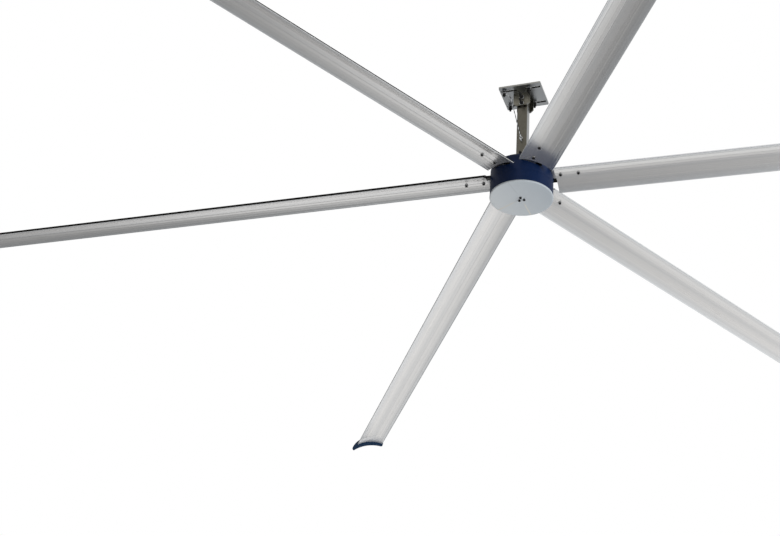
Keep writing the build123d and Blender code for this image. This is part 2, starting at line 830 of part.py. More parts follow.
def lug_height():
    """Middle of the rope's lug, between the two nuts of the first clamp bolt."""
    return plate_under - clamp_washer_thickness - clamp_nut_height - lug_thickness / 2


# The rope's route: down from the lug to the guide, then on to the sleeve above the eye bolt.
# Its lower heights are shares of the fall from the guide to the sleeve.
rope_start = [
    (-78.0, -54.5, -24.5),
    (-69.3, -47.6, -29.6),
    (-62.8, -42.4, -39.2),
    (-58.8, -39.3, -52.0),
    (-56.0, -37.0, -66.0),
]
rope_fall_shares = [
    (-53.0, -35.5, 0.121),
    (-43.5, -34.8, 0.257),
    (-34.5, -34.6, 0.421),
    (-26.0, -34.6, 0.610),
    (-17.0, -35.6, 0.782),
    (-9.5, -38.0, 0.910),
    (-4.5, -39.6, 1.0),
]
guide_height = rope_start[-1][2]
rope_fall = guide_height - eye_height - rope_end_rise
rope_route = rope_start + [(x, y, guide_height - rope_fall * share) for x, y, share in rope_fall_shares]


def rope_radii(points):
    """Largest tangent arc at each inner point: 0.45 of its shorter run over the tangent of half its turn."""
    radii = []
    for before, here, after in zip(points, points[1:], points[2:]):
        run_in = Vector(*here) - Vector(*before)
        run_out = Vector(*after) - Vector(*here)
        turn = math.radians(run_in.get_angle(run_out))
        radii.append(0.45 * min(run_in.length, run_out.length) / math.tan(turn / 2))
    return radii


def safety_rope():
    """Wire rope along its route, as one round tube."""
    radii = rope_radii(rope_route)
    path = FilletPolyline(*rope_route, radius=radii)
    start = Plane(origin=path @ 0, z_dir=path % 0)
    rope = sweep(start * Circle(rope_diameter / 2), path)
    area = math.pi * rope_diameter ** 2 / 4
    print("rope radii", [round(radius, 1) for radius in radii])
    print("rope length", round(path.length, 1), "volume share", round(rope.volume / (area * path.length), 4))
    return rope


def rope_lug():
    """Ring terminal under the lock nut of the first clamp bolt, with the sleeve that grips the rope."""
    place = clamp_places[0]
    middle = lug_height()
    low, high = middle - lug_thickness / 2, middle + lug_thickness / 2
    start = Vector(*rope_route[0])
    run = Vector(*rope_route[1]) - start
    axis = run.normalized()
    sleeve_plane = Plane(origin=start - axis * lug_sleeve_length, z_dir=axis)
    sleeve = sleeve_plane * extrude(Circle(lug_sleeve_radius), lug_sleeve_length)
    lug = disc(lug_radius, low, high, place) + sleeve
    hole_low, hole_high = low - lug_sleeve_radius * 2, high + lug_sleeve_radius * 2
    return lug - disc(clamp_bolt_radius + bolt_gap, hole_low, hole_high, place)


def rope_guide():
    """Small eye on the front cheek's edge that the rope runs through."""
    x, y, height = rope_start[-1]
    low, high = height - guide_wire_radius, height + guide_wire_radius
    outer = guide_ring_radius + guide_wire_radius
    guide = disc(outer, low, high, (x, y))
    guide += block((x, y - guide_wire_radius, low), (-cheek_width / 2, y + guide_wire_radius, high))
    return guide - disc(guide_ring_radius - guide_wire_radius, low - cut_over, high + cut_over, (x, y))


def eye_middle():
    """Distance of the eye bolt's ring in front of the fan's axis, as a place along Y."""
    return -tube_side / 2 - eye_stem_length - eye_ring_radius


def eye_bolt():
    """Ring bolt in the front face of the tube, with its nut inside."""
    height = eye_height
    face = tube_side / 2
    loop = ring(eye_ring_radius + eye_wire_radius, eye_ring_radius - eye_wire_radius,
                -eye_wire_radius, eye_wire_radius)
    eye = Pos(0, eye_middle(), height) * Rot(0, 90, 0) * loop
    nut_face = face - tube_wall
    stem = disc(eye_wire_radius, nut_face - 2 * eye_stem_length, face + eye_stem_length)
    collar = disc(2 * eye_wire_radius, face, face + eye_stem_length / 2)
    nut = hexagon(4 * eye_wire_radius, nut_face - eye_stem_length, nut_face)
    return eye + Pos(0, 0, height) * Rot(90, 0, 0) * (stem + collar + nut)


def rope_end():
    """Swaged sleeve at the rope's lower end, with the ring that hangs in the eye bolt."""
    end = Vector(*rope_route[-1])
    axis = (end - Vector(*rope_route[-2])).normalized()
    sleeve = Plane(origin=end, z_dir=axis) * extrude(Circle(end_sleeve_radius), end_sleeve_length)
    under_eye = eye_height + eye_ring_radius - eye_wire_radius - end_wire_radius - slide_gap
    link = Pos(0, eye_middle(), under_eye + end_eye_radius) * Rot(90, 0, 0)
    loop = ring(end_eye_radius + end_wire_radius, end_eye_radius - end_wire_radius,
                -end_wire_radius, end_wire_radius)
    return sleeve + link * loop


os.makedirs("parts", exist_ok=True)

bolts, washers, nuts, spacers = hanger_pieces()
cross_bolts, cross_washers, cross_nuts = spigot_pieces()
inner_rings, outer_rings = bearing_rings()
blade_bolts, blade_nuts = blade_fasteners()

pieces = {
    "beam_plate": beam_plate(),
    "cheek_front": cheek(-1),
    "cheek_rear": cheek(1),
    "clamp_bolts": clamp_bolts(),
    "clamp_washers": clamp_washers(),
    "clamp_nuts": clamp_nuts(),
    "hanger_bolts": bolts,
    "hanger_washers": washers,
    "hanger_nuts": nuts,
    "hanger_spacers": spacers,
    "drop_tube": drop_tube(),
    "shaft_spigot": shaft_spigot(),
    "spigot_bolts": cross_bolts,
    "spigot_washers": cross_washers,
    "spigot_nuts": cross_nuts,
    "motor_shaft": motor_shaft(),
    "shaft_nut": shaft_nut(),
    "cable_gland": cable_gland(),
    "stator_core": stator_core(),
    "stator_coils": stator_coils(),
    "bearing_inner_rings": inner_rings,
    "bearing_outer_rings": outer_rings,
    "cover_plate": cover_plate(),
    "cover_screws": cover_screws(),
    "lower_shell": lower_shell(),
    "upper_shell": upper_shell(),
    "shaft_seal": shaft_seal(),
    "hub_ring": hub_ring(),
    "drum_screws": drum_screws(),
    "back_iron": back_iron(),
    "magnets": magnets(),
    "strut_screws": strut_screws(),
    "blade_bolts": blade_bolts,
    "blade_nuts": blade_nuts,
    "safety_rope": safety_rope(),
    "rope_lug": rope_lug(),
    "rope_guide": rope_guide(),
    "rope_end": rope_end(),
    "eye_bolt": eye_bolt(),
}

blade = blade_body()
strut = strut_body()
cap = end_cap()
for number, turn in enumerate(blade_turns, start=1):
    pieces[f"blade_{number}"] = on_blade(blade, turn)
    pieces[f"strut_{number}"] = on_blade(strut, turn)
    pieces[f"end_cap_{number}"] = on_blade(cap, turn)

for name, shape in pieces.items():
    export_step(shape, f"parts/{name}.step")
print(len(pieces), "nodes")
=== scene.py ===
# %% [markdown]
# A large slow ceiling fan seen from below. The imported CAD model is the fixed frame: every length
# below is in metres in that frame, so a new piece goes where the CAD piece is, with no fitting.

# %% Load the frame
import json
import math
import bpy
import numpy as np
from mathutils import Matrix, Vector
from mathutils.geometry import tessellate_polygon


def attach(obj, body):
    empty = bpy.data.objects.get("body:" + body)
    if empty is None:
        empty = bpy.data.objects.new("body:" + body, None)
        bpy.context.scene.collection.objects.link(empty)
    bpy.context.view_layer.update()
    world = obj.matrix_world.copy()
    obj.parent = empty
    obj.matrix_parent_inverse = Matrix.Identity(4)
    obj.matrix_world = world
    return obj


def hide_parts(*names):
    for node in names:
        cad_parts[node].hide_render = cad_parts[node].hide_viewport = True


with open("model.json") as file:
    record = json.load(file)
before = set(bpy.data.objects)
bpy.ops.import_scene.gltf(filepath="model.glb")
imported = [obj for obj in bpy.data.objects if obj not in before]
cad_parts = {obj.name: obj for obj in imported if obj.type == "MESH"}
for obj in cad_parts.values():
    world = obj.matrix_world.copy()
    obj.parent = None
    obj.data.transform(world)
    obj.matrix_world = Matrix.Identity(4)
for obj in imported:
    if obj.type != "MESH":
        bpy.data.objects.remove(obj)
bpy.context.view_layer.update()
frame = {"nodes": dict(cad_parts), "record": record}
nodes = frame["nodes"]

# %% [markdown]
# The camera stands 7.8 m from the hub and looks up. Its three axes are written out, because they
# were worked out from the lines of the six straight blades, not from a target point.

# %% Camera
scene = bpy.context.scene
camera_right = Vector((0.9450, 0.3204, 0.0655))
camera_up = Vector((0.1097, -0.4993, 0.8595))
camera_back = Vector((0.3081, -0.8050, -0.5070))
camera_place = Vector((1.676, -6.254, -4.967))
camera_data = bpy.data.cameras.new("camera")
camera_data.lens, camera_data.sensor_width = 66.85, 36.0
camera_data.clip_end = 200.0
camera = bpy.data.objects.new("camera", camera_data)
turn = Matrix((camera_right, camera_up, camera_back)).transposed().to_4x4()
camera.matrix_world = Matrix.Translation(camera_place) @ turn
scene.collection.objects.link(camera)
scene.camera = camera
scene.view_settings.view_transform = "Standard"
print("camera is", round(camera_place.length, 2), "m from the beam plate")

# %% [markdown]
# Small helpers come next. A shape is a table of points and a list of faces. Points are worked out
# as whole arrays, so a surface with thousands of points is a few lines and takes no time.

# %% Points and faces
MM = 0.001
TURN = 2 * math.pi


def grid_faces(rows, columns, wrap_rows=False, wrap_columns=True, start=0):
    """Quads between neighbours of a grid of points; a wrapped side joins its last line to its first."""
    r = np.arange(rows if wrap_rows else rows - 1)
    c = np.arange(columns if wrap_columns else columns - 1)
    r, c = [a.ravel() for a in np.meshgrid(r, c, indexing="ij")]
    r2, c2 = (r + 1) % rows, (c + 1) % columns
    quads = np.stack([r * columns + c, r * columns + c2, r2 * columns + c2, r2 * columns + c], axis=1)
    return (quads + start).tolist()


def end_fans(rows, columns):
    """Triangles that close a grid's two ends, round the two points that follow the grid's own."""
    last, middle = (rows - 1) * columns, rows * columns
    sides = [(i, (i + 1) % columns) for i in range(columns)]
    return [[j, i, middle] for i, j in sides] + [[last + i, last + j, middle + 1] for i, j in sides]


def lathe(profile, turns=48, ring=False):
    """Surface of revolution: the point at angle a is (r cos a, r sin a, z) for each (r, z) of the profile.

    The profile runs so that the outside is on its right-hand side going up. r may be a table with
    one value for each angle. With ring the profile is a closed loop, else both its ends are closed.
    """
    angles = np.arange(turns) / turns * TURN
    rows = [(np.broadcast_to(np.asarray(r, float), (turns,)), z) for r, z in profile]
    points = np.concatenate([np.stack([r * np.cos(angles), r * np.sin(angles), np.full(turns, z)], axis=1)
                             for r, z in rows])
    faces = grid_faces(len(rows), turns, wrap_rows=ring)
    if ring:
        return points, faces
    points = np.vstack([points, (0, 0, rows[0][1]), (0, 0, rows[-1][1])])
    return points, faces + end_fans(len(rows), turns)


def placed(shape, matrix):
    """The shape with each point carried by a 4 x 4 matrix."""
    points, faces = shape
    m = np.array(matrix)
    return points @ m[:3, :3].T + m[:3, 3], faces


def joined(shapes):
    """Several shapes as one table of points and one list of faces."""
    points, faces, start = [], [], 0
    for table, polygons in shapes:
        points.append(table)
        faces += [[i + start for i in polygon] for polygon in polygons]
        start += len(table)
    return np.concatenate(points), faces


def new_piece(name, shape, smooth=math.radians(35)):
    """Puts a shape in a mesh and an object at the origin, shaded smooth up to an angle."""
    points, faces = shape
    mesh = bpy.data.meshes.new(name)
    mesh.from_pydata(np.asarray(points, float).tolist(), [], faces)
    mesh.update()
    mesh.shade_smooth()
    mesh.set_sharp_from_angle(angle=smooth)
    piece = bpy.data.objects.new(name, mesh)
    scene.collection.objects.link(piece)
    return piece


looks = {}


def fitted(piece, body, slot, *replaced):
    """Gives a piece the look of its slot, the body that it rides on and the CAD nodes that it stands for."""
    piece.data.materials.append(looks[slot])
    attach(piece, body)
    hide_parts(*replaced)
    print(piece.name, len(piece.data.polygons), "faces")


# %% [markdown]
# The safety rope is real wire rope: six strands twisted round a core. Its line is a smooth NURBS
# spline through the same route as the CAD rope. Each strand then winds round that line, which
# gives the bumpy outline that catches the light. Three neighbouring strands and the core carry a
# darker, rougher copy of the wire as painted shade, so the turns show as light and dark dashes.

# %% Safety rope
ROPE_DIAMETER = 0.005
rope_route = np.array([
    (-78.0, -54.5, -24.5), (-69.3, -47.6, -29.6), (-62.8, -42.4, -39.2), (-58.8, -39.3, -52.0),
    (-56.0, -37.0, -66.0), (-53.0, -35.5, -94.2), (-43.5, -34.8, -125.9), (-34.5, -34.6, -164.1),
    (-26.0, -34.6, -208.1), (-17.0, -35.6, -248.1), (-9.5, -38.0, -277.9), (-4.5, -39.6, -298.9),
]) * MM


# %% Lines and round tubes
def spline_points(route, samples=10):
    """Points of a smooth NURBS line whose control points are the route's points."""
    data = bpy.data.curves.new("line", "CURVE")
    data.dimensions = "3D"
    data.resolution_u = samples
    spline = data.splines.new("NURBS")
    spline.points.add(len(route) - 1)
    spline.points.foreach_set("co", np.c_[route, np.ones(len(route))].ravel())
    spline.order_u = 3
    spline.use_endpoint_u = True
    holder = bpy.data.objects.new("line", data)
    line = bpy.data.meshes.new_from_object(holder)
    points = np.empty(len(line.vertices) * 3)
    line.vertices.foreach_get("co", points)
    bpy.data.objects.remove(holder)
    bpy.data.meshes.remove(line)
    bpy.data.curves.remove(data)
    return points.reshape(-1, 3)


def even_line(points, step):
    """The same line with points at even steps along its length."""
    run = np.r_[0, np.cumsum(np.linalg.norm(np.diff(points, axis=0), axis=1))]
    at = np.linspace(0, run[-1], max(int(run[-1] / step), 2) + 1)
    return np.stack([np.interp(at, run, points[:, k]) for k in range(3)], axis=1), at


def tube_frames(line, reference):
    """Unit direction along a line and two unit vectors across it; the first is square to the reference."""
    along = np.gradient(line, axis=0)
    along /= np.linalg.norm(along, axis=1)[:, None]
    side = np.cross(along, reference)
    side /= np.linalg.norm(side, axis=1)[:, None]
    return along, side, np.cross(along, side)


def tube(line, radius, reference=(0, 1, 0), sides=12):
    """Round tube along a line: point = line + radius (cos a side + sin a up), with both ends closed."""
    along, side, up = tube_frames(line, np.asarray(reference, float))
    a = np.arange(sides) / sides * TURN
    cosine, sine = np.cos(a)[None, :, None], np.sin(a)[None, :, None]
    rings = line[:, None] + radius * (cosine * side[:, None] + sine * up[:, None])
    points = np.concatenate([rings.reshape(-1, 3), line[:1], line[-1:]])
    return points, grid_faces(len(line), sides) + end_fans(len(line), sides)


# %% Strands of the rope
LAY_LENGTH, STRAND_RADIUS, ROPE_STEP = 0.034, 0.00086, 0.0012
rope_line, rope_run = even_line(spline_points(rope_route), ROPE_STEP)
_, rope_side, rope_up = tube_frames(rope_line, np.array((0.0, 1.0, 0.0)))
strand_circle = ROPE_DIAMETER / 2 - STRAND_RADIUS
strands = [tube(rope_line, strand_circle * 0.75)]
for index in range(6):
    wind = (TURN * (rope_run / LAY_LENGTH + index / 6))[:, None]
    strand = rope_line + strand_circle * (np.cos(wind) * rope_side + np.sin(wind) * rope_up)
    strands.append(tube(strand, STRAND_RADIUS, sides=10))
wire_rope = new_piece("wire_rope", joined(strands), smooth=math.radians(60))
# The core and three neighbouring strands take the painted shade wire.
painted_shade_strands = np.repeat([1, 0, 0, 0, 1, 1, 1], [len(strand[1]) for strand in strands])
print("rope length", round(rope_run[-1], 4))

# %% [markdown]
# A plain pale floor lies 7.5 m below the beam, as a hall's floor would. It fades to white far out,
# so that it has no hard edge, and it is clear from below, so that a low camera still sees the fan.
# The world is white where the camera, gloss and glass look at it, and softer where it only lights
# the object. One end of the hall is dim, in mirrored rays alone: the metal shows it, while the
# background stays white. Three large soft lamps do the rest.

# %% One helper for all node trees
def linear(code):
    """sRGB hex colour as linear values: c / 12.92 below 0.04045, else ((c + 0.055) / 1.055) ** 2.4."""
    parts = [int(code[i:i + 2], 16) / 255 for i in (1, 3, 5)]
    return tuple(c / 12.92 if c <= 0.04045 else ((c + 0.055) / 1.055) ** 2.4 for c in parts) + (1.0,)


def add(tree, kind, inputs=None, stops=(), **settings):
    """Adds a node with its properties and its named or numbered inputs, and returns its outputs.

    A colour ramp also has stops: pairs of a position from 0 to 1 and a hex colour.
    """
    node = tree.nodes.new("ShaderNode" + kind)
    for key, value in settings.items():
        setattr(node, key, value)
    if stops:
        elements = node.color_ramp.elements
        for _ in stops[2:]:
            elements.new(0.5)
        for element, (position, code) in zip(elements, stops):
            element.position, element.color = position, linear(code)
    for key, value in (inputs or {}).items():
        if isinstance(value, bpy.types.NodeSocket):
            tree.links.new(value, node.inputs[key])
        else:
            node.inputs[key].default_value = value
    return node.outputs


# %% Two masks for rays
def seen_directly(tree):
    """1 for camera, glossy and transmission rays, 0 for the rays that light the object."""
    path = add(tree, "LightPath")
    some = add(tree, "Math", {0: path["Is Camera Ray"], 1: path["Is Glossy Ray"]}, operation="MAXIMUM")
    all_three = {0: some[0], 1: path["Is Transmission Ray"]}
    return add(tree, "Math", all_three, operation="MAXIMUM")[0]


DIM_MIDDLE = math.radians(165)


def dim_side(tree, way, full, none):
    """1 for mirrored rays into the hall's dim end, fading from full to none degrees off its middle."""
    flat = add(tree, "VectorMath", {0: way, 1: (1, 1, 0)}, operation="MULTIPLY")[0]
    unit = add(tree, "VectorMath", {0: flat}, operation="NORMALIZE")[0]
    middle = (math.cos(DIM_MIDDLE), math.sin(DIM_MIDDLE), 0)
    cosine = add(tree, "VectorMath", {0: unit, 1: middle}, operation="DOT_PRODUCT")["Value"]
    span = {0: cosine, 1: math.cos(math.radians(none)), 2: math.cos(math.radians(full))}
    inside = add(tree, "MapRange", span, interpolation_type="SMOOTHSTEP")[0]
    mirrored = add(tree, "LightPath")["Is Glossy Ray"]
    return add(tree, "Math", {0: inside, 1: mirrored}, operation="MULTIPLY")[0]


# %% World
WORLD_LIGHT, WORLD_DIM, WORLD_DIM_ANGLES = 0.32, 0.45, (40, 53)
world = bpy.data.worlds.new("white_room")
scene.world = world
world.use_nodes = True
tree = world.node_tree
tree.nodes.clear()
strength = add(tree, "MapRange", {0: seen_directly(tree), 3: WORLD_LIGHT})
dim = dim_side(tree, add(tree, "TexCoord")["Generated"], *WORLD_DIM_ANGLES)
dimmed = add(tree, "MapRange", {0: dim, 3: 1.0, 4: WORLD_DIM})[0]
strength = add(tree, "Math", {0: strength[0], 1: dimmed}, operation="MULTIPLY")
backdrop = add(tree, "Background", {"Color": (1, 1, 1, 1), "Strength": strength[0]})
add(tree, "OutputWorld", {0: backdrop[0]})
print("world light", WORLD_LIGHT)

# %% Floor
FLOOR_HEIGHT, FLOOR_REACH, FLOOR_LINES = -7.5, 30.0, 13
FADE_START, FADE_END, FLOOR_DIM, FLOOR_DIM_ANGLES = 2.0, 15.0, 0.2, (30, 47)
GLOW_MIRRORED, GLOW_SEEN = 0.02, 0.4
reach = np.linspace(-FLOOR_REACH, FLOOR_REACH, FLOOR_LINES)
floor_x, floor_y = [a.ravel() for a in np.meshgrid(reach, reach, indexing="ij")]
floor_points = np.stack([floor_x, floor_y, np.full(floor_x.size, FLOOR_HEIGHT)], axis=1)
floor_faces = [quad[::-1] for quad in grid_faces(FLOOR_LINES, FLOOR_LINES, wrap_columns=False)]
floor = new_piece("hall_floor", (floor_points, floor_faces))
paint = bpy.data.materials.new("pale_floor")
paint.use_nodes = True
tree = paint.node_tree
tree.nodes.clear()
place = add(tree, "TexCoord")["Object"]
# The floor's plain middle lies to the left of the hub as the camera sees it, at (-2.5, -0.5).
from_middle = add(tree, "VectorMath", {0: place, 1: (2.5, 0.5, 0)}, operation="ADD")[0]
flat = add(tree, "VectorMath", {0: from_middle, 1: (1, 1, 0)}, operation="MULTIPLY")[0]
distance = add(tree, "VectorMath", {0: flat}, operation="LENGTH")["Value"]
far_out = {0: distance, 1: FADE_START, 2: FADE_END}
far_out = add(tree, "MapRange", far_out, interpolation_type="SMOOTHSTEP")[0]
lit_side = {0: dim_side(tree, place, *FLOOR_DIM_ANGLES), 3: 1.0, 4: FLOOR_DIM}
lit_side = add(tree, "MapRange", lit_side)[0]
fade = add(tree, "Math", {0: far_out, 1: lit_side}, operation="MULTIPLY")[0]
seen = add(tree, "LightPath")["Is Camera Ray"]
least = add(tree, "MapRange", {0: seen, 3: GLOW_MIRRORED, 4: GLOW_SEEN})[0]
fade = add(tree, "MapRange", {0: fade, 3: least})[0]
fade = add(tree, "Math", {0: fade, 1: seen_directly(tree)}, operation="MULTIPLY")[0]
speckle = add(tree, "TexNoise", {"Vector": place, "Scale": 3.0, "Detail": 6.0})[0]
pale = add(tree, "ValToRGB", {0: speckle}, stops=[(0.3, "#c3c4c6"), (0.7, "#c9cacb")])[0]
matte = add(tree, "BsdfDiffuse", {"Color": pale, "Roughness": 0.5})[0]
white = add(tree, "Emission", {"Color": (1, 1, 1, 1), "Strength": 1.0})[0]
mixed = add(tree, "MixShader", {0: fade, 1: matte, 2: white})[0]
from_below = add(tree, "NewGeometry")["Backfacing"]
clear = add(tree, "BsdfTransparent")[0]
one_sided = add(tree, "MixShader", {0: from_below, 1: mixed, 2: clear})[0]
add(tree, "OutputMaterial", {0: one_sided})
floor.data.materials.append(paint)


# %% Lamps
def soft_lamp(name, place, aim, size, power):
    """White square area lamp that points from its place to its aim and isn't seen in reflections."""
    data = bpy.data.lights.new(name, "AREA")
    data.size, data.energy = size, power
    lamp = bpy.data.objects.new(name, data)
    way = Vector(aim) - Vector(place)
    lamp.matrix_world = Matrix.Translation(place) @ way.to_track_quat("-Z", "Y").to_matrix().to_4x4()
    lamp.visible_glossy = False
    scene.collection.objects.link(lamp)


soft_lamp("side_light", (8.0, -2.0, -3.0), (0, 0, -0.5), 4.0, 650)
soft_lamp("floor_bounce", (2.5, -2.0, -7.0), (2.5, -2.0, 0.0), 6.0, 325)
soft_lamp("rear_window", (3.0, 8.5, 4.5), (0, 0, -0.3), 3.0, 170)
print("lamps 3")

# %% [markdown]
# Each finish starts as one shader with a fine grain: noise on object coordinates, stretched where
# the real surface was drawn or brushed. The grain drives colour, roughness and bump together,
# as it does on a real surface. Special patterns are linked in afterwards, one finish at a time.

# %% Base of every finish
def finish(name, dark, light, grain_mm, metallic=0.0, roughness=(0.4, 0.5), bump=0.1, stretch=(1, 1, 1),
           **sockets):
    """Material with a grain of a real size; returns it, its tree, its shader's inputs and its tone."""
    material = bpy.data.materials.new(name)
    material.use_nodes = True
    tree = material.node_tree
    tree.nodes.clear()
    place = add(tree, "TexCoord")["Object"]
    scaled = add(tree, "Mapping", {0: place, "Scale": stretch})[0]
    grain = {"Vector": scaled, "Scale": 1 / (grain_mm * MM), "Detail": 4.0}
    grain = add(tree, "TexNoise", grain)[0]
    tone = add(tree, "ValToRGB", {0: grain}, stops=[(0.3, dark), (0.7, light)])[0]
    rough = {0: grain, 1: 0.3, 2: 0.7, 3: roughness[0], 4: roughness[1]}
    rough = add(tree, "MapRange", rough)[0]
    relief = add(tree, "Bump", {"Height": grain, "Strength": bump, "Distance": 0.0004})[0]
    surface = {"Base Color": tone, "Roughness": rough, "Normal": relief, "Metallic": metallic, **sockets}
    surface = add(tree, "BsdfPrincipled", surface)[0]
    add(tree, "OutputMaterial", {0: surface})
    return material, tree, surface.node.inputs, tone


def worn(tree, tone, place, code, size_mm, low, high):
    """Mixes a second colour over a tone in soft patches of a real size; returns the mixed colour."""
    patch = add(tree, "TexNoise", {"Vector": place, "Scale": 1 / (size_mm * MM), "Detail": 5.0})[0]
    amount = add(tree, "MapRange", {0: patch, 1: low, 2: high})[0]
    return add(tree, "Mix", {0: amount, 6: tone, 7: linear(code)}, data_type="RGBA")[2]


# %% [markdown]
# The drum is powder coated in satin dark blue: a dielectric with a faint orange peel. The cover is
# the same coat in light grey and more matte. A painted shade makes its tone drift from light grey
# to a cooler and darker grey across it, and its three faint creases are painted lines of highlight
# and shade. The end caps are moulded plastic of the same blue.

# %% Painted and moulded finishes
looks["blue_enamel"] = finish("satin_blue_powder_coat", "#0a1a38", "#0d2042", 1.2, roughness=(0.36, 0.44),
                              bump=0.05, IOR=1.5, **{"Specular IOR Level": 0.12})[0]
looks["blue_plastic"] = finish("moulded_blue_plastic", "#11233d", "#173049", 0.9, roughness=(0.26, 0.34),
                               bump=0.04, IOR=1.46, **{"Specular IOR Level": 0.2})[0]
looks["seal_rubber"] = finish("moulded_rubber", "#101010", "#181818", 0.8, roughness=(0.65, 0.8), bump=0.2)[0]
looks["black_plastic"] = finish("moulded_black_plastic", "#121212", "#1b1b1b", 0.7)[0]
looks["grey_enamel"], tree, inputs, tone = finish("matte_grey_powder_coat", "#b3b8ba", "#b9bdc0", 1.5,
                                                  roughness=(0.50, 0.60), bump=0.03, IOR=1.5)
PAINTED_SHADE_WAY, PAINTED_SHADE_REACH, PAINTED_SHADE_TONE = (0.976, -0.216, 0), 0.150, "#9da4aa"
CREASE_EDGES, CREASE_ENDS = (0.0010, 0.0040), (0.035, 0.070)
CREASE_LIGHT_LINES = ((152.0, "#bcb4a4", 0.85), (86.0, "#c6c1b4", 0.9), (260.0, "#989da1", 0.5))
place = add(tree, "TexCoord")["Object"]
# Painted shade: the tone grows cooler and darker towards one side of the cover.
painted_shade_drift = add(tree, "VectorMath", {0: place, 1: PAINTED_SHADE_WAY}, operation="DOT_PRODUCT")["Value"]
painted_shade_drift = add(tree, "MapRange", {0: painted_shade_drift, 1: -PAINTED_SHADE_REACH, 2: PAINTED_SHADE_REACH})[0]
tone = add(tree, "Mix", {0: painted_shade_drift, 6: tone, 7: linear(PAINTED_SHADE_TONE)}, data_type="RGBA")[2]
# Two creases get a line of painted highlight and the third a line of painted shade.
for crease_turn, code, strength in CREASE_LIGHT_LINES:
    # Each crease's painted line is thin and straight, from near the middle to the rim: its distance is |x sin
    # a - y cos a|.
    a = math.radians(crease_turn)
    side, out = [add(tree, "VectorMath", {0: place, 1: way}, operation="DOT_PRODUCT")["Value"]
                 for way in ((math.sin(a), -math.cos(a), 0), (math.cos(a), math.sin(a), 0))]
    width = add(tree, "Math", {0: side}, operation="ABSOLUTE")[0]
    line = {0: width, 1: CREASE_EDGES[0], 2: CREASE_EDGES[1], 3: 1.0, 4: 0.0}
    line = add(tree, "MapRange", line)[0]
    start = add(tree, "MapRange", {0: out, 1: CREASE_ENDS[0], 2: CREASE_ENDS[1]})[0]
    amount = add(tree, "Math", {0: line, 1: start}, operation="MULTIPLY")[0]
    faint = add(tree, "Math", {0: amount, 1: strength}, operation="MULTIPLY")[0]
    tone = add(tree, "Mix", {0: faint, 6: tone, 7: linear(code)}, data_type="RGBA")[2]
tree.links.new(worn(tree, tone, place, "#a4a9ad", 60, 0.60, 0.80), inputs["Base Color"])
print("painted finishes", len(looks))

# %% [markdown]
# Hot dip galvanising leaves zinc crystals, the spangle, each a flat patch with its own tone. Cells
# of a Voronoi pattern about 9 mm across stand for them. The photo shows it dull and olive, as
# old zinc gets, so its tones are muted and brownish. The plate under the beam is newer and greyer.

# %% Galvanised steel
looks["galvanised_steel"], tree, inputs, tone = finish("hot_dip_galvanised_steel", "#6c695f", "#7a776c", 2.0,
                                                       metallic=1.0, roughness=(0.30, 0.42), bump=0.06)
CELL_SIZE, CELL_TONES = 9 * MM, [(0.2, "#67645a"), (0.5, "#726f65"), (0.8, "#7f7c72")]
place = add(tree, "TexCoord")["Object"]
cells = add(tree, "TexVoronoi", {"Vector": place, "Scale": 1 / CELL_SIZE})
cell_tone = add(tree, "ValToRGB", {0: cells["Color"]}, stops=CELL_TONES)[0]
spangle = add(tree, "Mix", {0: 0.6, 6: tone, 7: cell_tone}, data_type="RGBA")[2]
tone = worn(tree, spangle, place, "#57503f", 35, 0.60, 0.85)
upright = add(tree, "SeparateXYZ", {0: place})
# Down the tube, from 85 mm below the plate's top, a painted shade darkens the zinc; on the tube's right face
# a painted highlight makes it paler instead.
TUBE_START, TUBE_FULL, TUBE_SHARE, RIGHT_START, RIGHT_FULL = -0.085, -0.105, 0.75, 0.0278, 0.0284
tube_painted_shade = {0: upright[2], 1: TUBE_START, 2: TUBE_FULL, 4: TUBE_SHARE}
tube_painted_shade = add(tree, "MapRange", tube_painted_shade)[0]
right_face_painted_highlight = add(tree, "MapRange", {0: upright[0], 1: RIGHT_START, 2: RIGHT_FULL})[0]
right_face_painted_highlight = add(tree, "Math", {0: right_face_painted_highlight, 1: tube_painted_shade}, operation="MULTIPLY")[0]
print("zinc cells of", round(CELL_SIZE / MM), "mm")

# %% Beam plate and its slots
# The plate's underside is at z = -10 mm: its sides get one tone and its underside another.
PLATE_DEPTH = 10 * MM
above_under = add(tree, "Math", {0: upright[2], 1: PLATE_DEPTH}, operation="ADD")[0]
off_under = add(tree, "Math", {0: above_under}, operation="ABSOLUTE")[0]
at_under = add(tree, "MapRange", {0: off_under, 1: 0.0002, 2: 0.0005, 3: 1.0, 4: 0.0})[0]
in_plate = {0: upright[2], 1: -PLATE_DEPTH - 0.0006, 2: -PLATE_DEPTH - 0.0002}
in_plate = add(tree, "MapRange", in_plate)[0]
# A painted shade darkens the four slots: a point is in one where ||x| - 67.5| < 43.2 and ||y| - 68| < 6.7 mm.
SLOT_MIDDLE, SLOT_REACH = (0.0675, 0.068, 0.0), (0.0432, 0.0067)
folded = add(tree, "VectorMath", {0: place}, operation="ABSOLUTE")[0]
off_slot = add(tree, "VectorMath", {0: folded, 1: SLOT_MIDDLE}, operation="SUBTRACT")[0]
off_slot = add(tree, "VectorMath", {0: off_slot}, operation="ABSOLUTE")[0]
off_parts = add(tree, "SeparateXYZ", {0: off_slot})
slot_painted_shade = in_plate
for off_part, slot_reach in zip(off_parts, SLOT_REACH):
    within = add(tree, "Math", {0: off_part, 1: slot_reach}, operation="LESS_THAN")[0]
    slot_painted_shade = add(tree, "Math", {0: slot_painted_shade, 1: within}, operation="MULTIPLY")[0]
